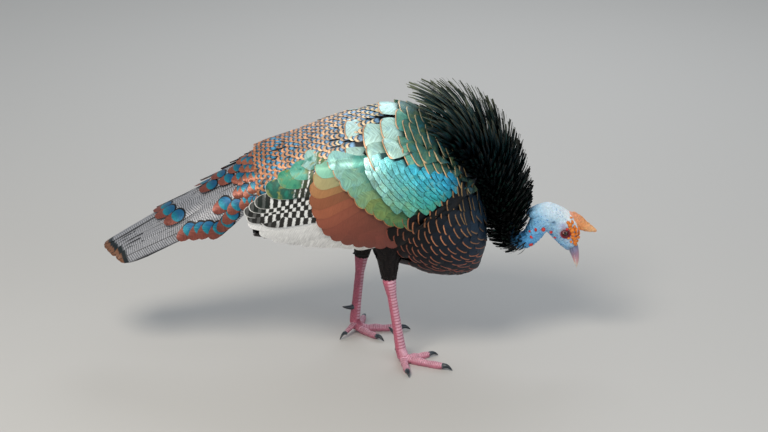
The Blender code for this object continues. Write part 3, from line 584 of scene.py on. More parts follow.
def feed(tree: Tree, node: Node, inputs: dict | Sequence) -> Node:
    """Links or sets a node's inputs.

    Args:
        tree: The node tree.
        node: The node.
        inputs: Values, sockets or nodes, in the order of the inputs, or by their name or number.

    Returns:
        The same node.
    """
    for key, value in inputs.items() if isinstance(inputs, dict) else enumerate(inputs):
        if isinstance(value, Node):
            value = value.outputs[0]
        if isinstance(value, Socket):
            tree.links.new(value, node.inputs[key])
        else:
            node.inputs[key].default_value = value
    return node


def add(tree: Tree, kind: str, inputs: dict | Sequence = (), **settings: object) -> Node:
    """Adds a node with its settings and links.

    Args:
        tree: The node tree.
        kind: The node's type, after ShaderNode.
        inputs: What its inputs get.
        settings: Properties of the node.

    Returns:
        The new node.
    """
    node = tree.nodes.new(f"ShaderNode{kind}")
    for key, value in settings.items():
        setattr(node, key, value)
    return feed(tree, node, inputs)


def rgba(hue: str) -> tuple[float, ...]:
    """Turns an sRGB hex value into a linear colour with full alpha."""
    return (*linear(hue), 1.0)


def new_material(name: str) -> tuple[Material, Tree, Node]:
    """Makes a material.

    Args:
        name: Its name.

    Returns:
        The material, its tree and its Principled BSDF.
    """
    material = bpy.data.materials.new(name)
    material.use_nodes = True
    return material, material.node_tree, material.node_tree.nodes["Principled BSDF"]


@dataclass(frozen=True)
class VaneCut:
    """The flat outline of a feather and how finely it is modelled.

    The half width grows from base to 1 at the shoulder, and the tip is a quarter of a superellipse.
    """

    base: float
    shoulder: float
    roundness: float
    cols: int
    tip_steps: int

    def rows(self) -> Arrays:
        """Works out the rows of the grid.

        Returns:
            Shares of the length, and shares of the half width.
        """
        angle = np.linspace(0, math.pi / 2, self.tip_steps + 1)
        angle[-1] *= 0.955
        power = 2 / self.roundness
        run = self.shoulder + (1 - self.shoulder) * np.sin(angle) ** power
        shares = np.r_[0, self.shoulder * 0.5, run]
        return shares, np.r_[self.base, (self.base + 1) / 2 + 0.1, np.cos(angle) ** power]


@dataclass(frozen=True)
class Keratin:
    """How the barbs of a vane meet the light."""

    roughness: float = 0.42
    metallic: float = 0.0
    ior: float = 1.54
    # Pitch of the barbs that the eye can part, and how much they vary in tone.
    barb_pitch: float = 0.0011
    streaks: float = 0.35
    bump: float = 0.35
    # Level of the mirror-like part, low where the barbules trap the light.
    specular: float = 0.5


class VanePattern:
    """The material of a vane, with its own flat coordinates, colours, edge, barbs and shaft as nodes."""

    def __init__(self, finish: VaneFinish) -> None:
        """Adds the nodes that every vane shares.

        Args:
            finish: The vane's finish.
        """
        self.material, self.tree, self.shader = new_material(finish.name)
        self.keratin, cut, tree = finish.keratin, finish.cut, self.tree
        share, flat = (add(tree, "Attribute", attribute_name=key).outputs[1] for key in ("share", "flat"))
        self.base, self.lit, self.rim = (
            add(tree, "Attribute", attribute_name=f"{key}_hue").outputs[0] for key in ("base", "lit", "rim")
        )
        self.aside, self.along, self.seed = add(tree, "SeparateXYZ", (share,)).outputs
        self.offset, self.run, _ = add(tree, "SeparateXYZ", (flat,)).outputs
        self.wide = add(tree, "Math", (self.aside,), operation="ABSOLUTE")
        tip = add(tree, "MapRange", (self.along, cut.shoulder, 1.0))
        powers = [add(tree, "Math", (part, cut.roundness), operation="POWER") for part in (self.wide, tip)]
        both = add(tree, "Math", powers, operation="ADD")
        # 0 on the shaft below the tip, 1 all along the outline.
        self.edge = add(tree, "Math", (both, 1 / cut.roundness), operation="POWER")
        # 0 along the sides, 1 at the tip.
        self.front = add(tree, "Math", (powers[1], both), operation="DIVIDE")
        reach = add(tree, "Math", (self.offset,), operation="ABSOLUTE")
        slant = add(tree, "Math", (reach, -0.8, self.run), operation="MULTIPLY_ADD")
        pitch = self.keratin.barb_pitch
        line = add(tree, "Math", (slant, pitch), operation="DIVIDE")
        length = add(tree, "Math", (self.offset, pitch * 9), operation="DIVIDE")
        other = add(tree, "Math", (self.seed, 97.0), operation="MULTIPLY")
        place = add(tree, "CombineXYZ", (line, length, other))
        self.barbs = add(tree, "TexNoise", {"Vector": place, "Scale": 1.0, "Detail": 3.0})
        inputs = (reach, 0.0003, 0.0007, 1.0, 0.0)
        self.shaft = add(tree, "MapRange", inputs, interpolation_type="SMOOTHSTEP")

    def over(self, under: object, colour: object, mask: object) -> Socket:
        """Lays a colour over another where a mask shows it."""
        return add(self.tree, "Mix", {0: mask, 6: under, 7: colour}, data_type="RGBA").outputs[2]

    def step(self, value: object, start: float, end: float) -> Node:
        """Makes a soft step from 0 to 1 between two values."""
        inputs = (value, min(start, end), max(start, end), float(start > end), float(start < end))
        return add(self.tree, "MapRange", inputs, interpolation_type="SMOOTHSTEP")

    def films(self, colour: object, hues: Sequence[str], strength: float) -> Socket:
        """Shifts a colour towards two others in patches of about 12 mm, as thin films do.

        Args:
            colour: The colour below.
            hues: The two colours.
            strength: How far the shift goes, from 0 to 1.

        Returns:
            The mixed colour.
        """
        place = add(self.tree, "TexCoord").outputs["Object"]
        patch = add(self.tree, "TexNoise", {"Vector": place, "Scale": 80.0, "Detail": 2.0})
        for hue, start, end in zip(hues, (0.52, 0.48), (0.7, 0.32)):
            mask = add(self.tree, "Math", (self.step(patch, start, end), strength), operation="MULTIPLY")
            colour = self.over(colour, rgba(hue), mask)
        return colour

    def barred(self) -> Socket:
        """Adds the fine, wavy, dark bars on pale grey that tail feathers and coverts share.

        Returns:
            The colour.
        """
        tree = self.tree
        wave = add(tree, "Math", (self.wide, 0.0035), operation="MULTIPLY")
        wander = add(tree, "Math", (self.barbs, 0.0022), operation="MULTIPLY")
        run = add(tree, "Math", (self.run, wave), operation="ADD")
        run = add(tree, "Math", (run, wander), operation="ADD")
        phase = add(tree, "Math", (run, TURN / BAR_PITCH), operation="MULTIPLY")
        sine = add(tree, "Math", (phase,), operation="SINE")
        return self.over(rgba("#A6A8AD"), rgba("#4C4F56"), self.step(sine, 0.25, 0.85))

    def finish(self, colour: Socket) -> Material:
        """Links the colour with its streaks, and the bump of the barbs.

        Args:
            colour: The colour of the vane.

        Returns:
            The material.
        """
        tree, keratin = self.tree, self.keratin
        tone = add(tree, "MapRange", (self.barbs, 0.3, 0.7, 1 - keratin.streaks, 1 + keratin.streaks))
        streaked = add(tree, "VectorMath", {0: colour, "Scale": tone}, operation="SCALE")
        bump = add(tree, "Bump", {"Strength": keratin.bump, "Distance": 0.0006, "Height": self.barbs})
        look = {"Base Color": streaked, "Normal": bump, "Roughness": keratin.roughness, "IOR": keratin.ior}
        look |= {"Metallic": keratin.metallic, "Specular IOR Level": keratin.specular}
        feed(tree, self.shader, look)
        return self.material


# Pitch of the fine bars on the tail, which the photograph shows as 3 to 4 mm.
BAR_PITCH = 0.0036


@dataclass(frozen=True)
class VaneFinish:
    """What the finishes of all feathers have."""

    name: str
    cut: VaneCut
    keratin: Keratin = Keratin()


@dataclass(frozen=True)
class ContourFinish(VaneFinish):
    """A body feather: a dull root, a lit middle, a dark line and a rim round its tip.

    The rim is where melanin gives way to pheomelanin, so it is matt beside the glossy middle. The
    thin films in the barbules shift the lit middle's colour in broad patches.
    """

    rim: float = 0.86
    soft: float = 0.03
    line: float = 0.12
    line_strength: float = 0.85
    lit: Pair = (0.35, 0.62)
    # Where along the edge the rim starts, from the sides (0) to the tip (1).
    front: Pair = (0.1, 0.4)
    shimmer: float = 0.0
    # Half width of the lit middle, as a share of the vane's.
    spot: float = 1.3

    def build(self) -> Material:
        """Makes the material.

        Returns:
            The material.
        """
        vane = VanePattern(self)
        tree, middle = vane.tree, vane.lit
        if self.shimmer:
            middle = vane.films(middle, ("#2F8CC0", "#A9B04E"), self.shimmer)
        parts = (vane.step(vane.along, *self.lit), vane.step(vane.wide, self.spot, self.spot - 0.25))
        colour = vane.over(vane.base, middle, add(tree, "Math", parts, operation="MULTIPLY"))
        tip = vane.step(vane.front, *self.front)
        for hue, start, end, share in (
            (rgba("#070A0A"), self.rim - self.line, self.rim - self.line * 0.3, self.line_strength),
            (vane.rim, self.rim - self.soft, self.rim + self.soft, 1.0)
        ):
            mask = add(tree, "Math", (vane.step(vane.edge, start, end), tip), operation="MULTIPLY")
            mask = add(tree, "Math", (mask, share), operation="MULTIPLY")
            colour = vane.over(colour, hue, mask)
        return vane.finish(colour)


@dataclass(frozen=True)
class OcellusFinish(VaneFinish):
    """A tail covert: grey and finely barred, with a structural blue eye, a black border, a copper tip."""

    keratin: Keratin = Keratin(metallic=0.35, roughness=0.36)
    tip: float = 0.862
    eye: Triple = (0.77, 0.1, 0.78)

    def build(self) -> Material:
        """Makes the material.

        Returns:
            The material.
        """
        vane = VanePattern(self)
        tree = vane.tree
        centre, high, wide = self.eye
        up = add(tree, "Math", (vane.along, centre), operation="SUBTRACT")
        up = add(tree, "Math", (up, high), operation="DIVIDE")
        aside = add(tree, "Math", (vane.aside, wide), operation="DIVIDE")
        flat = add(tree, "CombineXYZ", (up, aside))
        ring = add(tree, "VectorMath", (flat,), operation="LENGTH").outputs["Value"]
        colour = vane.over(vane.barred(), rgba("#06080A"), vane.step(ring, 1.42, 1.3))
        eye = vane.over(vane.base, vane.lit, vane.step(up, -0.5, 0.9))
        colour = vane.over(colour, eye, vane.step(ring, 1.1, 1.0))
        bow = add(tree, "Math", (vane.wide, vane.wide), operation="MULTIPLY")
        bow = add(tree, "Math", (bow, 0.06, vane.along), operation="MULTIPLY_ADD")
        return vane.finish(vane.over(colour, vane.rim, vane.step(bow, self.tip - 0.01, self.tip + 0.012)))


@dataclass(frozen=True)
class RectrixFinish(VaneFinish):
    """A main tail feather: barred grey, a black and teal band, and a copper tip."""

    keratin: Keratin = Keratin(metallic=0.1, roughness=0.45, streaks=0.25)

    def build(self) -> Material:
        """Makes the material.

        Returns:
            The material.
        """
        vane = VanePattern(self)
        colour = vane.over(vane.barred(), rgba("#1B1C20"), vane.step(vane.wide, 0.66, 0.92))
        colour = vane.over(colour, rgba("#07181C"), vane.step(vane.along, 0.925, 0.945))
        colour = vane.over(colour, rgba("#7A5239"), vane.step(vane.along, 0.965, 0.975))
        return vane.finish(vane.over(colour, rgba("#26221E"), vane.shaft))


@dataclass(frozen=True)
class QuillFinish(VaneFinish):
    """A flight feather of the folded wing: white bars on a dark vane, and a coloured tip."""

    keratin: Keratin = Keratin(metallic=0.1, roughness=0.45, streaks=0.22)
    # Spacing of the bars, as the photograph shows it.
    pitch: float = 0.0125
    # Start and end of a bar's edge on its wave, from -1 (all white) to 1.
    bar: Pair = (0.5, 0.72)
    tip: Pair = (0.8, 0.9)
    tip_share: float = 1.0
    rim: float = 0.9
    # How far the bars break up into ticks, and two colours with a strength that mottle the tip.
    broken: float = 0.0
    mottle: tuple[str, str, float] | None = None

    def build(self) -> Material:
        """Makes the material.

        Returns:
            The material.
        """
        vane = VanePattern(self)
        tree, lit = vane.tree, vane.lit
        run = add(tree, "Math", (vane.offset, 0.35, vane.run), operation="MULTIPLY_ADD")
        run = add(tree, "Math", (vane.barbs, 0.0045, run), operation="MULTIPLY_ADD")
        run = add(tree, "Math", (vane.seed, 0.006, run), operation="MULTIPLY_ADD")
        phase = add(tree, "Math", (run, TURN / self.pitch), operation="MULTIPLY")
        bars = vane.step(add(tree, "Math", (phase,), operation="SINE"), *self.bar)
        if self.broken:
            place = add(tree, "TexCoord").outputs["Object"]
            gaps = add(tree, "TexNoise", {"Vector": place, "Scale": 210.0, "Detail": 1.0})
            inputs = (gaps, 0.46, 0.58, 1.0 - self.broken, 1.0)
            keep = add(tree, "MapRange", inputs, interpolation_type="SMOOTHSTEP")
            bars = add(tree, "Math", (bars, keep), operation="MULTIPLY")
        colour = vane.over(vane.base, rgba("#E9EBE8"), bars)
        if self.mottle:
            lit = vane.films(lit, self.mottle[:2], self.mottle[2])
        mask = add(tree, "Math", (vane.step(vane.along, *self.tip), self.tip_share), operation="MULTIPLY")
        colour = vane.over(colour, lit, mask)
        return vane.finish(vane.over(colour, vane.rim, vane.step(vane.edge, self.rim, self.rim + 0.05)))


# Feather meshes


@dataclass
class Feathers:
    """A batch of feathers of one outline, as arrays with a row for each feather."""

    length: Array
    half_width: Array
    # Places of (feather, row, column) for the shares of the length, the offsets and the lifts.
    place: Callable[[Array, Array, Array], Array]
    # Where each feather's patch lies on the unwrap of the skin.
    patch: Array
    hues: dict[str, Array]
    seeds: Array
    lift: Pair
    # How far each feather stands off as a whole.
    rise: Array | float = 0.0
    crown: float = 0.0006
    tilt: Array | float = 0.0
    mirrored: bool = False


# How thick a vane is, and the size of its patch for baking.
VANE_THICK = 0.00025
PATCH_SIZE = 0.003


def weave(name: str, batches: Sequence[Feathers], finish: VaneFinish) -> Thing:
    """Builds closed, thin vanes for batches of feathers as one mesh.

    Args:
        name: The name of the piece.
        batches: The feathers.
        finish: Their outline and finish.

    Returns:
        The new object, with its colours, flat sizes and OFBake patches.
    """
    shares, widths = finish.cut.rows()
    rows, cols = len(shares), finish.cut.cols
    across, per = np.linspace(-1, 1, cols), rows * (cols + 1)
    grid = np.arange(per).reshape(rows, cols + 1)
    a, b = grid[:-1], grid[1:]
    groups = (
        (a[:, :-2], b[:, :-2], b[:, 1:-1], a[:, 1:-1]), (a[:, 0], a[:, cols], b[:, cols], b[:, 0]),
        (a[:, cols], a[:, cols - 1], b[:, cols - 1], b[:, cols])
    )
    quads = np.concatenate([np.stack([corner.ravel() for corner in group], -1) for group in groups])
    caps = np.stack([np.r_[grid[0, :cols], grid[0, cols]], np.r_[grid[-1, :cols][::-1], grid[-1, cols]]])
    places, patches, corners, ends = [], [], [], []
    stored: dict[str, list[Array]] = {key: [] for key in ("flat", "share", *batches[0].hues)}
    base = 0
    for batch in batches:
        count = len(batch.length)
        length, half, seeds, rise, tilt = (
            np.broadcast_to(value, count)[:, None, None]
            for value in (batch.length, batch.half_width, batch.seeds, batch.rise, batch.tilt)
        )
        wide = widths[None, :, None]
        lift = batch.lift[0] + (batch.lift[1] - batch.lift[0]) * shares[None, :, None]
        lift = lift + rise + batch.crown * (1 - across**2) * wide + tilt * across
        lift = np.concatenate([lift, lift[:, :, cols // 2 : cols // 2 + 1] - VANE_THICK], -1)
        offset = np.concatenate([half * wide * across, np.zeros((count, rows, 1))], -1)
        share, seeds = (np.broadcast_to(value, offset.shape) for value in (shares[None, :, None], seeds))
        real = offset / half
        places.append(batch.place(share, offset, lift).reshape(-1, 3))
        stored["flat"].append(np.stack([offset, share * length, seeds], -1).reshape(-1, 3))
        stored["share"].append(np.stack([real, share, seeds], -1).reshape(-1, 3))
        patch = batch.patch[:, None, None, :] + np.stack([real / 2, share - 0.5], -1) * PATCH_SIZE
        patches.append(patch.reshape(-1, 2))
        for key, column in batch.hues.items():
            stored[key].append(np.repeat(np.column_stack([column, np.ones(count)]), per, 0))
        shift = base + np.arange(count)[:, None, None] * per
        four, six = quads[None] + shift, caps[None] + shift
        if batch.mirrored:
            four, six = four[..., ::-1], six[..., ::-1]
        corners.append(four.reshape(-1, 4))
        ends.append(six.reshape(-1, cols + 1))
        base += count * per
    rim = np.zeros((rows, cols + 1), bool)
    rim[:, [0, cols - 1]] = True
    rim[[0, -1], :] = True
    mesh = bpy.data.meshes.new(name)
    mesh.vertices.add(base)
    mesh.vertices.foreach_set("co", np.concatenate(places).ravel())
    four, six = np.concatenate(corners), np.concatenate(ends)
    loops = np.r_[four.ravel(), six.ravel()].astype(np.int32)
    mesh.loops.add(len(loops))
    mesh.loops.foreach_set("vertex_index", loops)
    starts = np.r_[np.arange(len(four)) * 4, len(four) * 4 + np.arange(len(six)) * (cols + 1)]
    mesh.polygons.add(len(starts))
    mesh.polygons.foreach_set("loop_start", starts.astype(np.int32))
    mesh.polygons.foreach_set("use_smooth", np.ones(len(starts), bool))
    mesh.update(calc_edges=True)
    mesh.validate()
    pairs = np.empty(len(mesh.edges) * 2, np.int32)
    mesh.edges.foreach_get("vertices", pairs)
    held = np.tile(rim.ravel(), base // per)[pairs.reshape(-1, 2)].all(1)
    mesh.attributes.new("sharp_edge", "BOOLEAN", "EDGE").data.foreach_set("value", held)
    for key, column in stored.items():
        kind, part = ("FLOAT_VECTOR", "vector") if key in ("flat", "share") else ("FLOAT_COLOR", "color")
        mesh.attributes.new(key, kind, "POINT").data.foreach_set(part, np.concatenate(column).ravel())
    mesh.uv_layers.new(name="OFBake").data.foreach_set("uv", np.concatenate(patches)[loops].ravel())
    mesh.materials.append(finish.build())
    return shown(name, mesh)


def trunk_unwrap(points: Array) -> Array:
    """Unwraps places of the trunk round its long axis, as two shares from 0 to 1."""
    turn = np.arctan2(points[:, 2] - 0.262, points[:, 1])
    return np.stack([0.02 + (points[:, 0] + 0.4) / 0.8 * 0.96, 0.02 + (turn / TURN + 0.5) * 0.96], -1)


# Mean radius of the trunk, which the body feathers bow round.
BODY_RADIUS = 0.085


def laid(
    form: MeshForm, tips: Array, ways: Array, length: Array, half_width: Array, cut: VaneCut, hues: dict,
    **more: object
) -> Feathers:
    """Lays feathers along a form, each one bent to it from tip to root.

    Args:
        form: The surface.
        tips: The places of the tips.
        ways: The directions that they point in.
        length: The feathers' lengths.
        half_width: Their half widths.
        cut: Their outline.
        hues: Their colours.
        more: Other fields of the batch.

    Returns:
        The batch of feathers.
    """
    shares, _ = cut.rows()
    rows = []
    spot, normal = form.settle(tips)
    way = ways
    for k in range(len(shares) - 1, -1, -1):
        if k < len(shares) - 1:
            before = spot
            spot, normal = form.settle(spot - way * (length * (shares[k + 1] - shares[k]))[:, None])
            way = before - spot
        way = unit(way - normal * (way * normal).sum(-1, keepdims=True))
        rows.insert(0, (spot, np.cross(normal, way), normal))
    spine, aside, up = (np.stack(part, 1)[:, :, None, :] for part in zip(*rows))

    def place(_: Array, offset: Array, lift: Array) -> Array:
        """Places the vane's points, with its edges bowed down round the body."""
        bowed = lift - offset**2 / (2 * BODY_RADIUS)
        return spine + aside * offset[..., None] + up * bowed[..., None]

    hues = {key: np.clip(value, 0, 1) for key, value in hues.items()}
    return Feathers(length, half_width, place, trunk_unwrap(tips), hues, **more)


# Tracts of feathers


@dataclass(frozen=True, kw_only=True)
class Plumage:
    """Colours and finish of a field of feathers, in rows of a key with its hue, or with two."""

    base: tuple
    lit: tuple
    rim: tuple
    finish: VaneFinish

    def hues(self, at: Array, tone: Array, down: Array | float = 0.0) -> dict[str, Array]:
        """Reads the colours of the root, the lit middle and the rim.

        Args:
            at: Keys to read at.
            tone: How light each feather is.
            down: Share of the way from a row's first hue to its second.

        Returns:
            The colours by the name of their attribute.
        """
        found = {}
        for key, rows in (("base", self.base), ("lit", self.lit), ("rim", self.rim)):
            top, low = (ramp([(row[0], row[k]) for row in rows], at) for k in (1, -1))
            found[f"{key}_hue"] = (top + (low - top) * down) * tone
        return found


@dataclass(frozen=True, kw_only=True)
class Tract(Plumage):
    """A field of feathers set in staggered, leaning hoops round the trunk's axis, with hues by X."""

    name: str
    # First and last hoop along the axis, step between hoops, spacing round a hoop.
    reach: Pair
    step: float
    spacing: float
    # Keys along X with the lowest turn there, from the flank (0) to the back (90), and the highest turn.
    lowest: tuple
    highest: float
    # How far the hoops lean back.
    lean: float
    length: float
    half_width: float
    lift: Pair
    way: Triple
    # Keys along X with how far the feathers stand off further.
    rise: tuple = ((0.0, 0.0),)
    jitter: float = 0.12


# How far the plane that the sheets are drawn on leans back, and the height of its origin.
FLANK_LEAN = math.radians(20)
FLANK_HEIGHT = 0.218


@dataclass(frozen=True, kw_only=True)
class Sheet(Plumage):
    """A field of feathers whose tips stand on fringe lines, drawn on the flank's leaning plane.

    Each line has its row number and its points from top to bottom in millimetres. Rows between two lines
    lie between them. The hues go by row, from its top to its bottom.
    """

    name: str
    lines: tuple
    spacing: float
    length: Pair
    half_width: Pair
    lift: Pair = (-0.001, 0.003)
    jitter: float = 0.07
    shift: float = 0.0007
    slot: str = "body_plumage"
    draped: bool = False

    def rows(self) -> Arrays:
        """Works out the rows.

        Returns:
            Their numbers, and their points as (row, point, 2).
        """
        keys = np.array([row for row, _ in self.lines])
        fine = np.linspace(0, 1, 25)
        flat = np.array([along_line(mm(points), fine).ravel() for _, points in self.lines])
        numbers = np.arange(keys[0], keys[-1] + 1e-6)
        rows = np.stack([np.interp(numbers, keys, column) for column in flat.T], -1)
        return numbers, rows.reshape(len(numbers), len(fine), 2)

    def batch(self, form: MeshForm, side: Side, random: Random) -> Feathers:
        """Lays the sheet's feathers on one side.

        Args:
            form: The surface.
            side: The side of the bird.
            random: The source of small irregularities.

        Returns:
            The batch.
        """
        ahead = np.array([1.0, 0.0, 0.0])
        rise = np.array([0.0, -side.value * math.sin(FLANK_LEAN), math.cos(FLANK_LEAN)])
        out = np.array([0.0, side.value * math.cos(FLANK_LEAN), math.sin(FLANK_LEAN)])
        found = []
        for k, (number, line) in enumerate(zip(*self.rows())):
            size = np.linalg.norm(np.diff(line, axis=0), axis=1).sum()
            count = max(2, round(size / self.spacing))
            down = (np.arange(count) + 0.25 + 0.5 * (k % 2)) / count
            way = along_line(line, down + 0.02) - along_line(line, down - 0.02)
            x, z = unit(np.stack([way[:, 1], -way[:, 0]], -1)).T
            bend = random.normal(0, 0.04, count)
            spot = along_line(line, down) + random.normal(0, self.shift, (count, 2))
            x, z = x * np.cos(bend) - z * np.sin(bend), x * np.sin(bend) + z * np.cos(bend)
            found.append(np.column_stack([spot, x, z, np.full(count, number), down]))
        table = np.concatenate(found)
        start = np.array([0.0, 0.0, FLANK_HEIGHT]) + table[:, :1] * ahead + table[:, 1:2] * rise + out * 0.5
        tips, met = form.cast(start, np.broadcast_to(-out, start.shape))
        near = tips[:, 1] * side.value > -0.004
        tips, table = tips[near], table[met][near]
        row, down = table[:, 4], table[:, 5]
        count, keys = len(tips), (self.lines[0][0], self.lines[-1][0])
        tone = 1 + random.normal(0, self.jitter, (count, 1))
        return laid(
            form, tips, table[:, 2:3] * ahead + table[:, 3:4] * rise,
            np.interp(row, keys, self.length) * (1 + random.normal(0, 0.05, count)),
            np.interp(row, keys, self.half_width) * (1 + random.normal(0, 0.05, count)), self.finish.cut,
            self.hues(row, tone, down[:, None]), lift=self.lift, tilt=random.normal(0, 0.0003, count),
            seeds=random.random(count)
        )


@dataclass
class Trunk:
    """The feathered trunk, from the mantle behind the ruff to the rump and the belly."""

    form: MeshForm
    # A much smoother form, which bridges the hollows beside the wings.
    drape: MeshForm
    random: Random
    tracts: tuple[Tract, ...]
    sheets: tuple[Sheet, ...]
    # Height of the axis that the hoops turn round, along X.
    axis: tuple = ((-0.2, 0.25), (-0.05, 0.266), (0.08, 0.268), (0.216, 0.222))
    # Mean distance from the axis to the coat, which sets how many feathers a hoop has.
    mean_reach: float = 0.105

    def roots(self, tract: Tract, side: Side) -> Array:
        """Spreads the roots of a tract on one side of the bird.

        Args:
            tract: The field of feathers.
            side: The side of the bird.

        Returns:
            The roots.
        """
        first, last = tract.reach
        hoops = max(2, round(abs(last - first) / tract.step))
        starts, ways = [], []
        for i in range(hoops + 1):
            x = first + (last - first) * (i / hoops)
            low = np.interp(x, *zip(*tract.lowest))
            span = math.radians(tract.highest - low)
            count = max(2, round(span * self.mean_reach / tract.spacing))
            turn = math.radians(low) + span * (np.arange(count) + 0.25 + 0.5 * (i % 2)) / count
            turn = turn + self.random.normal(0, 0.06, count) * span / count
            way = unit(np.stack([-tract.lean * np.sin(turn), side.value * np.cos(turn), np.sin(turn)], -1))
            centre = np.array([x, 0.0, np.interp(x, *zip(*self.axis))])
            shift = self.random.normal(0, 0.04, (count, 1))
            centre = centre + np.array([1.0, 0.0, 0.0]) * shift * tract.step
            starts.append(centre + way * 0.4)
            ways.append(-way)
        return self.form.cast(np.concatenate(starts), np.concatenate(ways))[0]

    def batch(self, tract: Tract, side: Side) -> Feathers:
        """Makes the feathers of a tract on one side.

        Args:
            tract: The field of feathers.
            side: The side of the bird.

        Returns:
            The batch.
        """
        roots = self.roots(tract, side)
        count = len(roots)
        scale = 1 + self.random.normal(0, tract.jitter * 0.5, count)
        way = np.array(tract.way) * side.flip
        ways = unit(np.broadcast_to(way, (count, 3)) + self.random.normal(0, 0.05, (count, 3)))
        tone = 1 + self.random.normal(0, tract.jitter, (count, 1))
        return laid(
            self.form, roots, ways, tract.length * scale, tract.half_width * scale, tract.finish.cut,
            tract.hues(roots[:, 0], tone), lift=tract.lift, rise=np.interp(roots[:, 0], *zip(*tract.rise)),
            tilt=self.random.normal(0, 0.0004, count), seeds=self.random.random(count)
        )

    def build(self) -> Iterator[tuple]:
        """Weaves every tract and sheet, with both sides in one piece.

        Returns:
            Each piece with its slot.
        """
        for tract in self.tracts:
            yield weave(tract.name, [self.batch(tract, side) for side in Side], tract.finish), "body_plumage"
        for sheet in self.sheets:
            form = self.drape if sheet.draped else self.form
            batches = [sheet.batch(form, side, self.random) for side in Side]
            yield weave(sheet.name, batches, sheet.finish), sheet.slot


BROAD = VaneCut(base=0.5, shoulder=0.5, roundness=2.6, cols=7, tip_steps=5)
ROUND = VaneCut(base=0.45, shoulder=0.42, roundness=2.2, cols=5, tip_steps=4)
SLIM = VaneCut(base=0.55, shoulder=0.25, roundness=1.35, cols=3, tip_steps=4)
LONG = VaneCut(base=0.35, shoulder=0.8, roundness=2.4, cols=7, tip_steps=5)
BLUNT = VaneCut(base=0.6, shoulder=0.7, roundness=3.8, cols=7, tip_steps=5)
FLAT = VaneCut(base=0.8, shoulder=0.8, roundness=3.6, cols=5, tip_steps=4)

SILK = Keratin(roughness=0.42, metallic=0.3)
MATT = Keratin(roughness=0.55, metallic=0.0, specular=0.15)

TRACTS = (
    Tract(
        name="belly_feathers", reach=(0.1, -0.19), step=0.014, spacing=0.016, lowest=((0.0, -90),),
        highest=-58, lean=0.3, length=0.04, half_width=0.014, lift=(-0.006, -0.0015), way=(-1.0, 0.0, 0.0),
        base=((-0.19, "#1A1312"), (0.1, "#14100F")), lit=((-0.19, "#241A18"), (0.1, "#1A1615")),
        rim=((-0.19, "#3A2620"), (0.1, "#3A2620")),
        finish=ContourFinish("belly_vanes", ROUND, MATT, rim=0.9)
    ),
    Tract(
        name="breast_feathers", reach=(0.215, 0.045), step=0.0085, spacing=0.016, lowest=((0.0, -90),),
        highest=-48, lean=0.55, length=0.04, half_width=0.0125, lift=(-0.004, 0.0005),
        way=(-0.8, 0.0, -0.6), base=((0.04, "#0D0B0C"), (0.2, "#0A0C0F")),
        lit=((0.04, "#15110F"), (0.15, "#141B22"), (0.21, "#1C2C3A")),
        rim=((0.04, "#6A3A30"), (0.12, "#7E4A38"), (0.2, "#6A4A3C")),
        finish=ContourFinish("breast_vanes", BROAD, MATT, rim=0.93, soft=0.02, line=0.05, front=(0.4, 0.7))
    ),
    Tract(
        name="back_feathers", reach=(0.07, -0.13), step=0.0072, spacing=0.0118, highest=91,
        lowest=((-0.17, 10), (-0.07, 26), (-0.01, 36), (0.005, 47), (0.03, 57), (0.07, 76)), lean=0.15,
        length=0.034, half_width=0.0082, lift=(-0.003, 0.0036),
        rise=((-0.125, 0.005), (-0.105, 0.0022), (-0.08, 0.0), (-0.01, 0.0), (0.015, -0.002)),
        way=(-1.0, 0.0, -0.4), base=((-0.16, "#0A1D26"), (0.0, "#0A0E12")),
        lit=((-0.17, "#1A7E98"), (-0.11, "#4E9CC4"), (-0.05, "#8FBCE4"), (0.06, "#6F9CC0")),
        rim=(
            (-0.17, "#B06C48"), (-0.11, "#CB8C60"), (-0.05, "#EABB92"), (0.02, "#EFD0A8"),
            (0.06, "#D6D0A0")
        ),
        finish=ContourFinish(
            "back_vanes", ROUND, Keratin(0.42, 0.2), rim=0.8, soft=0.02, line=0.2, lit=(0.55, 0.7),
            front=(0.45, 0.8), spot=0.72
        ),
        jitter=0.18
    )
)

# Rim lines of the flank's feathers in millimetres: ahead of the middle, and up the plane that leans back
# 20 degrees.
SCAPULAR_LINES = (
    (0, ((-1.6, 140), (-1.6, 111.9), (-0.1, 84.7), (8.9, 63.5))),
    (1, ((24.1, 146), (24.1, 130.1), (27.1, 99.8), (39.2, 75.6))),
    (2, ((48.3, 169.4), (51.3, 137.7), (55.8, 104.4), (67.9, 77.2))),
    (3, ((71, 172.5), (74, 137.7), (80, 99.8), (95.2, 71.1))),
    (4.5, ((81.6, 175.5), (90.6, 130.1), (101.2, 93.8), (117.9, 59.3))),
    (6.25, ((96.7, 175.5), (113.3, 119.5), (125.4, 89.3), (143.6, 57.5))),
    (8.15, ((114.8, 178.5), (133, 119.5), (146.6, 83.2), (164.8, 50))),
    (10.25, ((130, 178.5), (152.7, 115), (169.3, 75.6), (176, 42))),
    (12.5, ((145.1, 178.5), (172.3, 111.9), (186, 69.6), (190, 40)))
)
SHIELD_LINES = (
    (0, ((27.1, 80.2), (30.1, 63.5), (40.7, 43.9), (58.9, 21.2), (78.5, 0))),
    (3, ((48.3, 83.2), (54.3, 66.6), (69.5, 45.4), (92.1, 22.7), (114.8, 4.5))),
    (7.5, ((89.1, 71.1), (96.7, 57.5), (110.3, 42.4), (125.4, 28.7), (137.5, 18.2))),
    (12, ((133, 62), (139, 52.9), (145.1, 43.9), (151.1, 37.8), (155.7, 31.8))),
    (14.5, ((155.7, 57.5), (160.2, 52.9), (164.8, 48.4), (167.8, 45.4), (170.8, 42.4)))
)
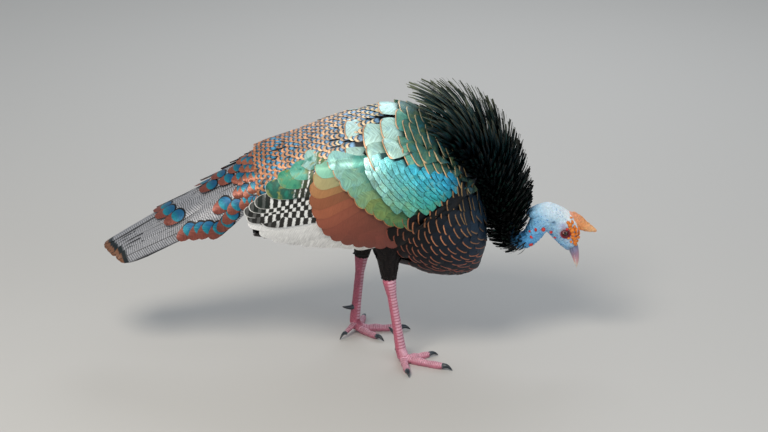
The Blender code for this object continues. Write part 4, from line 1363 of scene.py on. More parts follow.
BREAST_LINES = (
    (0, ((60, -22), (68.9, -52.3), (80.7, -69.1), (100.9, -80.9), (136.2, -90.1))),
    (2, ((77.4, -17), (80.7, -38.8), (89.1, -55.6), (104.3, -70.8), (126.1, -80.9), (159.7, -85.9))),
    (4, ((90.8, -5.2), (92.5, -32.1), (102.6, -55.6), (119.4, -70.8), (146.3, -80.9), (198.4, -83.4))),
    (6, ((107.6, 4), (109.3, -32.1), (117.7, -48.9), (132.8, -65.7), (159.7, -78.5), (198.4, -76.5))),
    (8, ((124.4, 12), (123.6, -13.6), (131.2, -35.5), (146.3, -55.6), (176.5, -70), (204, -65))),
    (10, ((142, 29), (142.9, -1.8), (149.6, -25.4), (166.5, -48.9), (190, -60), (208, -54))),
    (12, ((159.7, 42), (159.7, 16.6), (164.8, -5.2), (174.9, -25.4), (191.7, -42.2), (210, -43))),
    (14, ((169, 70), (172, 51.9), (174.9, 16.6), (179.9, -5.2), (190, -25.4), (208, -30))),
    (16, ((179.9, 95.7), (186.6, 51.9), (191.7, 16.6), (198.4, -5.2), (210, -20))),
    (18, ((193.4, 102.4), (200, 62), (205, 28.4), (211, -1.8), (218, -12))),
    (20, ((204, 102.4), (210, 62), (215, 28.4), (219, 6)))
)
SHEETS = (
    Sheet(
        name="breast_rows", lines=BREAST_LINES, spacing=0.023, length=(0.04, 0.034),
        half_width=(0.014, 0.013), base=((0, "#080707", "#090808"), (20, "#050707", "#060808")),
        lit=(
            (0, "#0C0909", "#100D12"), (6, "#080B0E", "#161F2C"), (12, "#0A1216", "#1C2C3E"),
            (20, "#081414", "#203644")
        ),
        rim=(
            (0, "#8A4A3C", "#84403C"), (5, "#A8704E", "#9A5248"), (10, "#C08A60", "#A06048"),
            (13, "#A08458", "#7A5A44"), (20, "#3E4632", "#1E2620")
        ),
        finish=ContourFinish(
            "breast_rims", BLUNT, Keratin(0.45, 0.1, specular=0.2), rim=0.85, soft=0.03, line=0.04,
            front=(0.25, 0.75)
        ),
        jitter=0.16
    ),
    Sheet(
        name="mantle_rows", lines=SCAPULAR_LINES, spacing=0.035, length=(0.054, 0.048),
        half_width=(0.024, 0.02),
        base=(
            (0, "#2C6C74", "#2F6A58"), (2, "#1E4A48", "#1E4A40"), (4, "#060C0B", "#060D0B"),
            (12.5, "#040606", "#040606")
        ),
        lit=(
            (0, "#D0F2F0", "#B8E6D6"), (2, "#C0EAE6", "#BAE4D4"), (3, "#5AA494", "#68AC96"),
            (4, "#386A66", "#427E6E"), (7, "#1C3A3A", "#2C5C54"), (12.5, "#0E1C1C", "#182E28")
        ),
        rim=(
            (0, "#DDAA84", "#D09A70"), (3, "#E6C09A", "#D8A87C"), (5, "#A8A684", "#D6B080"),
            (8, "#8C9484", "#C4A878"), (12.5, "#6A7460", "#7C7A56")
        ),
        finish=ContourFinish(
            "mantle_rims", BLUNT, SILK, rim=0.895, soft=0.025, line=0.06, line_strength=0.7,
            front=(0.1, 0.55), shimmer=0.18
        ),
        lift=(-0.004, 0.0044), draped=True
    ),
    Sheet(
        name="shield_rows", lines=SHIELD_LINES, spacing=0.0155, length=(0.026, 0.02),
        half_width=(0.0105, 0.0082), base=((0, "#1E4A48", "#1C4A3C"), (14.5, "#0C3848", "#0C3848")),
        lit=(
            (0, "#C2F6F2", "#70BE98"), (4, "#86E4E6", "#42AE98"), (8, "#46C4D6", "#229C98"),
            (14.5, "#1A90BC", "#127CA0")
        ),
        rim=((0, "#17403E", "#123A2E"), (14.5, "#07262F", "#07262F")),
        finish=ContourFinish(
            "shield_vanes", FLAT, Keratin(0.34, 0.45, barb_pitch=0.0008, streaks=0.45), rim=0.88, soft=0.04,
            line=0.03, line_strength=0.5, front=(0.2, 0.7), shimmer=0.2
        ),
        lift=(0.0, 0.0042), jitter=0.12, slot="wing_plumage"
    )
)


class Tier(Enum):
    """A tier of the folded wing's long feathers."""

    LOWER = "lower_secondaries"
    BARRED = "secondaries"
    TERTIAL = "tertials"
    GREATER = "greater_coverts"
    MEDIAN = "median_coverts"


@dataclass(frozen=True, kw_only=True)
class WingTier(Plumage):
    """A row of feathers between two lines of the folded wing, as x and z, with hues from top to bottom."""

    count: int
    first_root: Pair
    last_root: Pair
    tips: tuple
    half_width: float
    lift: Pair
    tilt: float = 0.001


@dataclass
class Wing:
    """A folded wing: flight feathers under two tiers of long coverts."""

    side: Side
    random: Random
    body: MeshForm
    form: WingForm = WingForm()
    # Heights between which the vanes leave the wing's own shape and lie down on the back.
    crest: Pair = (0.312, 0.33)

    def batch(self, tier: WingTier) -> Feathers:
        """Makes one tier.

        Args:
            tier: Its sizes and colours.

        Returns:
            The batch, with each feather over the next one below.
        """
        share = np.linspace(0, 1, tier.count)
        root = np.array(tier.first_root) + np.outer(share, np.subtract(tier.last_root, tier.first_root))
        root = root + self.random.normal(0, 0.0008, root.shape)
        tip = along_line(tier.tips, share) + self.random.normal(0, 0.001, root.shape)
        ahead = unit(tip - root)
        above = np.stack([ahead[:, 1], -ahead[:, 0]], -1)

        def place(run: Array, offset: Array, lift: Array) -> Array:
            """Places the vane's points on the wing's form.

            Args:
                run: Shares of the length.
                offset: Distances beside the shaft.
                lift: Distances off the form.

            Returns:
                The points.
            """
            flat = root[:, None, None, :] + (tip - root)[:, None, None, :] * run[..., None]
            flat = flat + above[:, None, None, :] * offset[..., None]
            spots = self.form.point(flat[..., 0], flat[..., 1], lift, self.side)
            back, normals = self.body.settle(spots)
            share = grow(flat[..., 1:], self.crest[0], self.crest[1] - self.crest[0])
            return spots + (back + normals * lift[..., None] - spots) * share

        tone = 1 + self.random.normal(0, 0.07, (tier.count, 1))
        start = np.column_stack([root[:, 0], np.full(tier.count, 0.1 * self.side.value), root[:, 1]])
        return Feathers(
            np.linalg.norm(tip - root, axis=1),
            tier.half_width * (1 + self.random.normal(0, 0.03, tier.count)), place, trunk_unwrap(start),
            tier.hues(share, tone), lift=tier.lift, rise=self.random.normal(0, 0.0002, tier.count),
            crown=0.0008, tilt=-tier.tilt, mirrored=self.side is Side.RIGHT,
            seeds=self.random.random(tier.count)
        )


WING_TIERS = {
    Tier.LOWER: WingTier(
        count=9, first_root=(0.04, 0.262), last_root=(0.075, 0.215),
        tips=(
            (-0.149, 0.232), (-0.138, 0.2235), (-0.116, 0.213), (-0.086, 0.206), (-0.04, 0.2015),
            (0.01, 0.2)
        ),
        half_width=0.013, lift=(-0.0014, 0.0012), base=((0, "#E9EAE8"), (1, "#F2F0EC")),
        lit=((0, "#F0F0EE"), (1, "#F0EDE8")), rim=((0, "#F6F6F4"), (1, "#F4F2EE")),
        finish=QuillFinish("white_secondary_vanes", LONG, bar=(-0.99, -0.96), tip=(0.2, 0.4), tip_share=0.7)
    ),
    Tier.BARRED: WingTier(
        count=6, first_root=(0.02, 0.312), last_root=(0.045, 0.272),
        tips=((-0.139, 0.268), (-0.151, 0.2575), (-0.157, 0.248), (-0.15, 0.2405), (-0.128, 0.24)),
        half_width=0.012, lift=(-0.0008, 0.0026), base=((0, "#15170F"), (1, "#1C1A17")),
        lit=((0, "#0C1F18"), (0.4, "#131512"), (1, "#1A1916")), rim=((0, "#D9DAD4"), (1, "#ECECEA")),
        finish=QuillFinish(
            "barred_secondary_vanes", LONG, bar=(0.2, 0.45), tip=(0.84, 0.9), tip_share=0.9, rim=0.93
        )
    ),
    Tier.TERTIAL: WingTier(
        count=4, first_root=(-0.006, 0.343), last_root=(0.02, 0.308),
        tips=((-0.066, 0.334), (-0.097, 0.313), (-0.122, 0.289)), half_width=0.015, lift=(-0.0004, 0.0056),
        base=((0, "#6E8A60"), (0.4, "#46532F"), (1, "#262B1D")),
        lit=((0, "#A9D8D0"), (0.35, "#5CB49C"), (0.7, "#3C9A72"), (1, "#125A4A")),
        rim=((0, "#B4CDB8"), (0.5, "#93A070"), (1, "#CDD2C6")),
        finish=QuillFinish(
            "tertial_vanes", LONG, pitch=0.0085, bar=(0.45, 0.75), broken=0.75, tip=(0.64, 0.76), rim=0.95,
            mottle=("#12806A", "#9A9A4A", 0.8)
        )
    ),
    Tier.GREATER: WingTier(
        count=13, first_root=(0.03, 0.336), last_root=(0.098, 0.252),
        tips=(
            (-0.046, 0.325), (-0.053, 0.3), (-0.055, 0.278), (-0.049, 0.253), (-0.034, 0.228),
            (-0.015, 0.2145), (0.01, 0.208), (0.036, 0.206), (0.059, 0.208)
        ),
        half_width=0.014, lift=(0.0, 0.0062),
        base=((0, "#58A084"), (0.15, "#7A6A40"), (0.3, "#7C4430"), (1, "#6A3326")),
        lit=((0, "#8ED0B4"), (0.1, "#B59A5E"), (0.2, "#A8643E"), (0.45, "#904A36"), (1, "#76382D")),
        rim=((0, "#E0A878"), (0.15, "#C98250"), (0.35, "#A85C40"), (1, "#86443A")),
        finish=ContourFinish(
            "greater_covert_vanes", LONG, Keratin(0.5, 0.1, streaks=0.12, bump=0.2), rim=0.955,
            soft=0.015, line=0.05, line_strength=0.25, lit=(0.1, 0.9)
        )
    ),
    Tier.MEDIAN: WingTier(
        count=10, first_root=(0.045, 0.343), last_root=(0.13, 0.274),
        tips=(
            (-0.03, 0.338), (-0.016, 0.318), (0.002, 0.296), (0.024, 0.275), (0.053, 0.255),
            (0.089, 0.2435)
        ),
        half_width=0.015, lift=(-0.001, 0.008), base=((0, "#4E9E90"), (1, "#3E6A40")),
        lit=((0, "#A6E0D8"), (0.3, "#84BC9C"), (0.55, "#7C9458"), (0.8, "#4F7E50"), (1, "#3C6C48")),
        rim=((0, "#E0AE88"), (0.5, "#C08450"), (1, "#A0643A")),
        finish=ContourFinish(
            "median_covert_vanes", LONG, SILK, rim=0.91, soft=0.025, line=0.06, line_strength=0.4,
            shimmer=0.16
        )
    )
}


@dataclass
class Tail:
    """The drooping tail: a folded fan of barred feathers under coverts with blue eyes."""

    random: Random
    form: TailForm = TailForm()
    pairs: int = 9
    spread: Pair = (1.16, 0.84)
    start: float = 0.06
    length: float = 0.306
    shortening: float = 0.018
    half_width: float = 0.0165
    # Radius that turns stand for on the flat, between a root and a tip.
    radius: float = 0.072

    def batch(self, roots: Array, tips: Array, half_width: Array, hues: dict, **more: object) -> Feathers:
        """Makes feathers from root to tip on the arch.

        Args:
            roots: Distance along and turn of the roots.
            tips: The same for the tips.
            half_width: The half widths.
            hues: Their colours.
            more: Other fields of the batch.

        Returns:
            The batch.
        """
        scale = np.array([1.0, self.radius])
        root, tip = roots * scale, tips * scale
        ahead = unit(tip - root)
        beside = np.stack([-ahead[:, 1], ahead[:, 0]], -1)

        def place(run: Array, offset: Array, lift: Array) -> Array:
            """Places the vane's points on the arch.

            Args:
                run: Shares of the length.
                offset: Distances beside the shaft.
                lift: Distances off the form.

            Returns:
                The points.
            """
            flat = root[:, None, None, :] + (tip - root)[:, None, None, :] * run[..., None]
            flat = flat + beside[:, None, None, :] * offset[..., None]
            return self.form.point(flat[..., 0], flat[..., 1] / self.radius, lift)

        length = np.linalg.norm(tip - root, axis=1)
        middle = (roots + tips) / 2
        patch = np.stack([middle[:, 0] / 0.4 * 0.9 + 0.05, middle[:, 1] / 4 + 0.5], -1)
        return Feathers(length, half_width, place, patch, hues, self.random.random(len(length)), **more)

    def rectrices(self) -> Feathers:
        """Makes the main feathers, from the outermost up to the ridge.

        Returns:
            The batch.
        """
        side = np.arange(self.pairs, 0, -1) / self.pairs
        share = np.r_[side, -side, 0.0]
        reach = self.length - self.shortening * share**2 + self.random.normal(0, 0.0015, len(share))
        roots = np.stack([np.full(len(share), self.start), self.spread[0] * share], -1)
        tips = np.stack([reach, self.spread[1] * share + self.random.normal(0, 0.008, len(share))], -1)
        tone = np.ones((len(share), 3))
        lifts = -0.002 - 0.0012 * np.abs(share) + np.where(share == 0, 0.0012, 0.0)
        return self.batch(
            roots, tips, np.full(len(share), self.half_width),
            {"base_hue": tone, "lit_hue": tone, "rim_hue": tone}, lift=(0.0, 0.0), rise=lifts,
            tilt=-0.0011 * np.sign(share)
        )

    def coverts(self) -> Feathers:
        """Makes the coverts with eyes, from the largest to the smallest.

        Returns:
            The batch.
        """
        rows = []
        for along, turn, size in LONG_COVERTS:
            rows.extend((along, turn * side, size) for side in (1, -1)[: 1 + (turn > 0)])
        for along, first, step, size in COVERT_ROWS:
            turns = np.arange(first, 1.5, step)
            turns = np.r_[turns, -turns[turns > 0]]
            rows.extend((along - 0.003 * turn**2, turn, size) for turn in turns)
        table = np.array(rows)
        table[:, :2] += self.random.normal(0, 1, (len(table), 2)) * (0.001, 0.012)
        tips = table[:, :2]
        length = 0.016 + 0.088 * table[:, 2]
        roots = np.stack([tips[:, 0] - length, tips[:, 1] * 0.72], -1)
        keys = (-0.06, -0.035, -0.015, 0.0, 0.06, 0.205)
        lifts = np.interp(tips[:, 0], keys, (-0.012, -0.006, 0.001, 0.005, 0.006, 0.0035))
        lifts = lifts + self.random.normal(0, 0.0003, len(lifts))
        half_width = 0.007 + 0.0062 * table[:, 2]
        copper = grow(tips[:, 0], -0.03, 0.15)
        tone = 1 + self.random.normal(0, 0.08, (len(table), 1))
        hues = COVERTS.hues(copper, tone)
        tilt = -0.001 * np.sign(tips[:, 1])
        return self.batch(roots, tips, half_width, hues, lift=(-0.0085, 0.0), rise=lifts, tilt=tilt)

    def build(self) -> None:
        """Weaves the fan and its coverts."""
        fan = weave("tail_fan", [self.rectrices()], RectrixFinish("rectrix_vanes", LONG))
        seat(fan, "tail_plumage", "tail_feathers")
        eyes = weave("tail_eyes", [self.coverts()], COVERTS.finish)
        seat(eyes, "tail_covert_plumage", "tail_coverts")


COVERTS = Plumage(
    base=((0, "#2A6C9A"), (0.3, "#0F5478"), (1, "#0A5A84")),
    lit=((0, "#4C9CC4"), (0.3, "#127E92"), (1, "#0E8292")),
    rim=((0, "#DDB48C"), (0.35, "#A9684A"), (0.7, "#8A4A38"), (1, "#7E4236")),
    finish=OcellusFinish("ocellus_vanes", BROAD)
)
# The longest tail coverts: distance of the tip along the tail, turn from the ridge, size.
LONG_COVERTS = (
    (0.213, 0.0, 0.9), (0.21, 0.35, 1.0), (0.198, 0.66, 1.0), (0.189, 1.15, 1.0), (0.172, 1.25, 0.95),
    (0.157, 1.33, 0.9), (0.142, 1.45, 0.85), (0.138, 0.0, 0.75), (0.128, 0.33, 0.85), (0.126, 1.4, 0.8),
    (0.119, 1.015, 0.9), (0.112, 1.3, 0.75), (0.104, 0.12, 0.65), (0.094, 0.46, 0.7), (0.098, 1.18, 0.7)
)
# Rows of the others: the same distance, the first turn, the step between turns, their size.
COVERT_ROWS = (
    (0.083, 0.95, 0.28, 0.6), (0.075, 0.3, 0.33, 0.58), (0.068, 0.78, 0.28, 0.52),
    (0.058, 0.15, 0.29, 0.48), (0.048, 0.0, 0.27, 0.42), (0.038, 0.13, 0.25, 0.36), (0.028, 0.0, 0.23, 0.3),
    (0.019, 0.11, 0.22, 0.26), (0.01, 0.0, 0.21, 0.22), (0.001, 0.1, 0.2, 0.18), (-0.008, 0.0, 0.19, 0.15),
    (-0.017, 0.09, 0.18, 0.12), (-0.026, 0.0, 0.17, 0.1), (-0.034, 0.08, 0.16, 0.08)
)


@dataclass
class Ruff:
    """The raised hackles of the neck."""

    random: Random
    form: NeckForm = NeckForm()
    step: float = 0.0034
    spacing: float = 0.0056
    lean: float = 0.62
    bend: Pair = (0.42, 0.68)
    half_width: Pair = (0.004, 0.002)
    # How much further along the neck the last hackles reach, at the sides and at the throat.
    late: Pair = (0.018, 0.005)

    def batch(self) -> Feathers:
        """Makes the hackles, each a curve from the flesh out to the ruff's shape.

        Returns:
            The batch.
        """
        alongs, turns = [], []
        tip_rows = np.arange(0.022, self.form.ruff_end - 0.004, self.step)
        for row, tip_along in enumerate(tip_rows):
            reach = smooth_rows(mm(self.form.reach), tip_along)[0]
            count = int(math.pi * (reach[0] + reach[1]) / 2 / self.spacing * 0.72) + 3
            spread = np.linspace(math.radians(-84), math.radians(264), int(count * 1.4))
            spread = spread + (row % 2 - 0.5) * (spread[1] - spread[0]) / 2
            alongs.append(tip_along + self.random.normal(0, 0.0018, len(spread)))
            turns.append(spread + self.random.normal(0, 0.035, len(spread)))
        along, turn = np.concatenate(alongs), np.concatenate(turns)
        shift = self.late[0] * np.cos(turn) ** 2 - self.late[1] * np.sin(turn)
        shift = shift * np.clip((along - 0.15) / (self.form.ruff_end - 0.15), 0, 1)
        along = along + shift
        tip = self.form.point(along, turn, self.random.normal(1.0, 0.035, len(along)))
        flesh = self.form.point(along, turn, 0.0)
        lean = self.lean * np.interp(along, (0.0, 0.1), (0.62, 1.0))
        back = lean * np.linalg.norm(tip - flesh, axis=-1)
        root_along = np.minimum(along + back, self.form.ruff_end + 0.01 + shift)
        root = self.form.point(root_along, turn, 0.0)
        share, out = self.bend
        out = out + self.random.normal(0, 0.04, len(along))
        bend = self.form.point(along * share + root_along * (1 - share), turn, out)
        across = unit(self.form.point(along, turn + 0.05, 1.0) - self.form.point(along, turn - 0.05, 1.0))
        lengths = np.linalg.norm(bend - root, axis=1) + np.linalg.norm(tip - bend, axis=1)
        wide, slim = self.half_width
        half = np.interp(along, (0, self.form.ruff_end), (wide, slim))
        half = half * (1 + self.random.normal(0, 0.1, len(along)))
        roll = self.random.normal(0, 0.0006, len(along))

        def place(run: Array, offset: Array, lift: Array) -> Array:
            """Places the vane's points on its curve.

            Args:
                run: Shares of the length.
                offset: Distances beside the shaft.
                lift: Distances off the form.

            Returns:
                The points.
            """
            run = run[..., None]
            a, b, c = (part[:, None, None, :] for part in (root, bend, tip))
            spot = a * (1 - run) ** 2 + b * 2 * run * (1 - run) + c * run**2
            way = unit((b - a) * (1 - run) + (c - b) * run)
            side = across[:, None, None, :]
            side = unit(side - way * (side * way).sum(-1, keepdims=True))
            up = np.cross(side, way)
            return spot + side * offset[..., None] + up * (lift - 18 * offset**2)[..., None]

        sheen = self.random.random((len(along), 1)) ** 2
        back_side = (np.clip(np.sin(turn) * 0.8 + 0.2, 0, 1) * np.clip(1 - along / 0.16, 0, 1))[:, None]
        dark, green, teal = linear("#070909"), linear("#173A30"), linear("#16404E")
        lit = dark + (green - dark) * sheen * 0.8 + (teal - dark) * back_side * 0.8
        rim = linear("#0A0D0D")
        rim = rim + (linear("#8F977C") - rim) * np.clip(back_side * 1.2 - 0.4, 0, 1)
        hues = {"base_hue": np.broadcast_to(dark, lit.shape) * 1.0, "lit_hue": lit, "rim_hue": rim}
        patch = np.stack([0.02 + 0.96 * along / 0.25 % 0.96, 0.02 + (turn + 0.6) / 4.4 * 0.96], -1)
        seeds = self.random.random(len(along))
        return Feathers(lengths, half, place, patch, hues, seeds, (0.0, 0.0), crown=0.0003, tilt=roll)

    def build(self) -> None:
        """Weaves the hackles."""
        sheen = Keratin(roughness=0.42, metallic=0.3, specular=0.3)
        finish = ContourFinish("hackle_vanes", SLIM, sheen, rim=0.88, line=0.02)
        piece = weave("hackles", [self.batch()], finish)
        seat(piece, "ruff_plumage", "neck_ruff")


# Bare parts: head, neck, legs


def seat(piece: Thing, slot: str, *nodes: str) -> None:
    """Fixes a piece to the bird and reports it.

    Args:
        piece: The piece.
        slot: Its slot.
        nodes: The CAD nodes that it stands for.
    """
    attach(piece, "root")
    if nodes:
        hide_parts(*nodes)
    LOG.info("%s: %d faces as %s", piece.name, len(piece.data.polygons), slot)


@dataclass(frozen=True)
class HeadForm:
    """The head's own frame and sections: ahead along its axis, aside, and up."""

    centre: Pair = (0.324, 0.208)
    pitch: float = math.radians(52)
    stations: tuple = (
        (-0.0418, -0.018, 0.0045, 0.0055, 0.006), (-0.0395, -0.017, 0.01, 0.0122, 0.0115),
        (-0.034, -0.012, 0.0145, 0.0203, 0.016), (-0.025, -0.005, 0.0165, 0.0215, 0.018),
        (-0.015, 0.0005, 0.0175, 0.0217, 0.0205), (0.0000, 0.003, 0.0178, 0.0237, 0.0232),
        (0.014, 0.003, 0.0168, 0.025, 0.0222), (0.026, 0.002, 0.015, 0.0222, 0.0202),
        (0.038, -0.001, 0.0122, 0.0163, 0.015), (0.047, -0.0045, 0.0094, 0.0105, 0.01)
    )

    def axes(self) -> Array:
        """Gives the forward, aside and up directions as rows."""
        c, s = math.cos(self.pitch), math.sin(self.pitch)
        return np.array([[c, 0.0, -s], [0.0, 1.0, 0.0], [s, 0.0, c]])

    def place(self, own: Array) -> Array:
        """Turns the head's own coordinates into the model's."""
        return np.array([self.centre[0], 0.0, self.centre[1]]) + np.asarray(own) @ self.axes()

    def own(self, points: Array) -> Array:
        """Turns the model's coordinates into the head's own."""
        return (points - np.array([self.centre[0], 0.0, self.centre[1]])) @ self.axes().T

    def rings(self, count: int, sides: int) -> Array:
        """Reads the sections as rings of points.

        Args:
            count: How many rings.
            sides: How many points a ring has.

        Returns:
            The rings as (ring, point, 3).
        """
        at = np.linspace(self.stations[0][0], self.stations[-1][0], count)
        middle, wide, up, down = (column[:, None] for column in smooth_rows(self.stations, at).T)
        turn = round_ring(sides)[None, :]
        reach = np.where(np.sin(turn) > 0, up, down)
        ahead = np.broadcast_to(at[:, None], reach.shape)
        return self.place(np.stack([ahead, wide * np.cos(turn), middle + reach * np.sin(turn)], -1))


# Warts of the head and throat in the head's own frame: ahead, aside, up, radius.
RED_WARTS = (
    (-0.0142, 0.014, -0.0287, 0.0024), (-0.0074, 0.016, -0.02, 0.004), (0.0047, 0.017, -0.016, 0.0027),
    (0.015, 0.016, 0.009, 0.002), (-0.0081, 0.012, -0.0427, 0.0026), (0.0023, 0.01, -0.0499, 0.0029),
    (-0.017, 0.012, -0.038, 0.0017), (0.017, 0.013, -0.017, 0.0016)
)
ORANGE_WARTS = (
    (0.007, 0.014, 0.0165, 0.0021), (0.0115, 0.014, 0.015, 0.0025), (0.0165, 0.014, 0.014, 0.0023),
    (0.0215, 0.014, 0.0135, 0.0028), (0.027, 0.013, 0.011, 0.0026), (0.0315, 0.012, 0.0075, 0.0027),
    (0.036, 0.01, 0.0075, 0.0026), (0.0405, 0.009, 0.0055, 0.0025), (0.0445, 0.008, 0.004, 0.0022),
    (0.012, 0.011, 0.021, 0.0018), (0.0195, 0.01, 0.019, 0.0022), (0.0255, 0.009, 0.017, 0.0021),
    (0.0315, 0.008, 0.0145, 0.0024), (0.037, 0.007, 0.012, 0.0022), (0.042, 0.006, 0.009, 0.0021),
    (0.0285, 0.0135, 0.004, 0.0017), (0.0355, 0.0115, 0.0015, 0.0016), (0.005, 0.01, 0.0245, 0.0015),
    (0.028, 0.004, 0.0205, 0.002), (0.035, 0.003, 0.017, 0.0022), (0.041, 0.002, 0.013, 0.002)
)


@dataclass
class BareSkin:
    """The bird's one skin: blue and warty on head and neck, painted near black under the plumage as shade.
    """

    random: Random
    head: HeadForm = HeadForm()
    neck: NeckForm = NeckForm()
    # Where the fine skin of head and neck starts and ends along the neck.
    start: float = 0.186
    end: float = 0.302
    voxel: float = 0.0011
    # How deep the skin lies under the plumage, and how much narrower it is at the rump.
    depth: float = 0.0045
    pinch: float = 0.1
    grains: int = 150
    eye: Triple = (0.019, 0.0098, 0.003)

    def tube(self, start: float, end: float) -> Thing:
        """Lofts the flesh of the neck.

        Args:
            start: Where it starts along the neck.
            end: Where it ends.

        Returns:
            The loft.
        """
        along = np.linspace(start, end, 40)[:, None]
        turn = round_ring(28)[None, :]
        return loft("neck_flesh", self.neck.point(along, turn, 0.0))

    def fine(self) -> Thing:
        """Models the bare head and neck, with folds, lids' sockets, ears and the gape.

        Returns:
            The closed skin of head and neck.
        """
        pieces = [self.tube(self.start, self.end), loft("skull", self.head.rings(44, 36))]
        skin = remesh("head_skin", pieces, self.voxel, 5)
        for piece in pieces:
            bpy.data.objects.remove(piece)
        places, normals = places_of(skin)
        own = self.head.own(places)
        ahead, aside, up = own[:, 0], np.abs(own[:, 1]), own[:, 2]
        flank = np.clip(aside / 0.012, 0, 1)
        eye = np.hypot(ahead - self.eye[0], up - self.eye[2])
        rise = -0.001 * bump_of(np.abs(eye - 0.0085), 0.003) * flank
        brow = np.abs(up - (0.0128 - 0.06 * (ahead - 0.012)))
        rise += 0.0011 * bump_of(brow, 0.003) * bump_of(ahead - 0.014, 0.016) * flank
        gape = np.abs(up + 0.0078 + 0.1 * (0.045 - ahead))
        rise -= 0.001 * bump_of(gape, 0.0011) * grow(ahead, 0.022, 0.01)
        ear = np.hypot(ahead + 0.0065, up + 0.001)
        hollow = 0.0026 * bump_of(ear, 0.002) * flank
        rise += 0.0006 * bump_of(np.abs(ear - 0.004), 0.0014) * flank - hollow
        rise -= 0.001 * bump_of(np.abs(up + 0.0135 - 0.12 * ahead), 0.0045) * bump_of(ahead - 0.02, 0.02)
        throat = grow(-up, 0.008, 0.008) * grow(ahead, 0.045, -0.02)
        rise += 0.0004 * throat * np.sin(TURN * (ahead / 0.004 + 0.35 * ripple(places, 0.012, 3)))
        fold = np.sin(TURN * ((up + 0.5 * ahead) / 0.0052 + 0.5 * ripple(places, 0.014, 4)))
        rise += 0.00034 * grow(-up, 0.02, 0.01) * fold
        rise += 0.00022 * ripple(places, 0.0032, 5) + 0.00045 * ripple(places, 0.011, 6)
        move_to(skin, places + normals * rise[:, None])
        return skin

    def tint(self, places: Array) -> Array:
        """Colours the skin by its place on the head.

        Args:
            places: The skin's vertices.

        Returns:
            A linear colour for each.
        """
        own = self.head.own(places)
        ahead, aside, up = own[:, 0], np.abs(own[:, 1]), own[:, 2]

        def over(under: Array, hue: str, mask: Array) -> Array:
            """Lays a colour over the tint."""
            return under + (linear(hue) - under) * np.clip(mask, 0, 1)[:, None]

        hues = [(-0.05, "#58A8DE"), (-0.025, "#82C2EC"), (-0.004, "#AEDAF4")]
        tone = ramp([*hues, (0.012, "#D6EEFA"), (0.024, "#F2FAFE")], up)
        tone = over(tone, "#D8ECFA", bump_of(ahead + 0.026, 0.018) * grow(up, -0.012, 0.02) * 0.8)
        tone = over(tone, "#5A9AD0", grow(-up, 0.006, 0.02) * grow(ahead, 0.0, 0.03) * 0.6)
        ear = bump_of(np.hypot(ahead + 0.0065, up + 0.001), 0.0058)
        tone = over(tone, "#6F95B4", ear * (aside > 0.008) * 0.95)
        tone = over(tone, "#C9C2E6", bump_of(np.hypot(ahead - 0.036, up - 0.012), 0.013) * 0.85)
        tone = over(tone, "#B9A6D4", bump_of(np.hypot(ahead - 0.006, up - 0.008), 0.007) * 0.6)
        eye = np.hypot(ahead - self.eye[0], up - self.eye[2])
        tone = over(tone, "#A12A3E", bump_of(eye, 0.01) * (aside > 0.006))
        tone = over(tone, "#7C1F2C", bump_of(eye, 0.0066) * (aside > 0.006))
        tone = over(tone, "#7E93B4", grow(ahead, 0.038, 0.008) * grow(up, 0.004, -0.01) * 0.8)
        mottle = 1 + 0.07 * ripple(places, 0.0045, 8) + 0.05 * ripple(places, 0.0017, 9)
        tone = tone * mottle[:, None]
        # Near black where the plumage and the ruff cover the skin: painted shade in the gaps between the
        # feathers.
        return over(tone, "#100E0F", grow(places[:, 0], 0.258, -0.006))

    def build(self, coat: Thing) -> Thing:
        """Joins head, neck and trunk into one skin.

        Args:
            coat: The trunk's skin, already set in under its plumage.

        Returns:
            The skin.
        """
        fine = self.fine()
        joint = fine.modifiers.new("joint", "BOOLEAN")
        joint.operation, joint.object, joint.solver = "UNION", coat, "EXACT"
        apply_modifiers(fine)
        bpy.data.objects.remove(coat)
        fine.name = fine.data.name = "skin"
        places, _ = places_of(fine)
        return tint_with(fine, self.tint(places), SkinFinish("bare_facial_skin").build())

    def warts(self, form: MeshForm) -> Thing:
        """Sets the warts on head and throat.

        Args:
            form: The skin.

        Returns:
            The warts, in one piece.
        """
        rows = [(*row, "#D8423C") for row in RED_WARTS]
        rows += [(*place, radius * 1.3, "#F58C34") for *place, radius in ORANGE_WARTS]
        for _ in range(self.grains):
            ahead, up = self.random.uniform(-0.03, 0.044), self.random.uniform(-0.045, 0.022)
            hue = "#A9CDEE" if up > -0.004 else "#4F94D6"
            if ahead > 0.01 and up > 0.000:
                hue = "#E9B7A6" if self.random.random() < 0.5 else "#D9D2EE"
            rows.append((ahead, 0.016, up, self.random.uniform(0.0004, 0.0008), hue))
        points, faces, colours = [], [], []
        rings, sides = 7, 12
        lat = np.linspace(-math.pi / 2, math.pi / 2, rings + 2)[1:-1]
        turn = round_ring(sides)
        wide, high = np.cos(lat)[:, None], np.broadcast_to(np.sin(lat)[:, None], (rings, sides))
        ball = np.stack([wide * np.cos(turn), wide * np.sin(turn), high], -1).reshape(-1, 3)
        for ahead, aside, up, radius, hue in rows:
            for side in Side:
                jitter = self.random.normal(0, 0.0006, 3)
                own = np.array([ahead, aside * side.value, up]) + jitter
                spot, normal = form.settle(self.head.place(own)[None])
                normal = normal[0]
                across = unit(np.cross(normal, self.random.normal(0, 1, 3)))
                over = np.cross(normal, across)
                size = radius * self.random.uniform(0.85, 1.15)
                stretch = self.random.uniform(1.0, 1.5)
                rough = 1 + 0.1 * ripple(ball * size + spot, size * 1.3, int(radius * 1e7) % 97)[:, None]
                own = ball * rough * np.array([stretch, 1 / stretch**0.5, 0.75]) * size
                frame = np.array([across, over, normal])
                faces += ring_faces(rings, sides, len(points) * rings * sides)
                points.append(spot[0] + normal * size * 0.3 + own @ frame)
                # Each wart is painted darker on its lower half, by the skin, and lighter towards its top, as
                # painted shade and light.
                tip = np.clip(own[:, 2:] / size, 0, 1)
                colours.append(linear(hue) * (0.8 + 0.35 * tip) * self.random.uniform(0.88, 1.1))
        obj = put_mesh("warts", np.concatenate(points), faces)
        finish = SkinFinish("caruncle_skin", roughness=0.34, pore=0.0009)
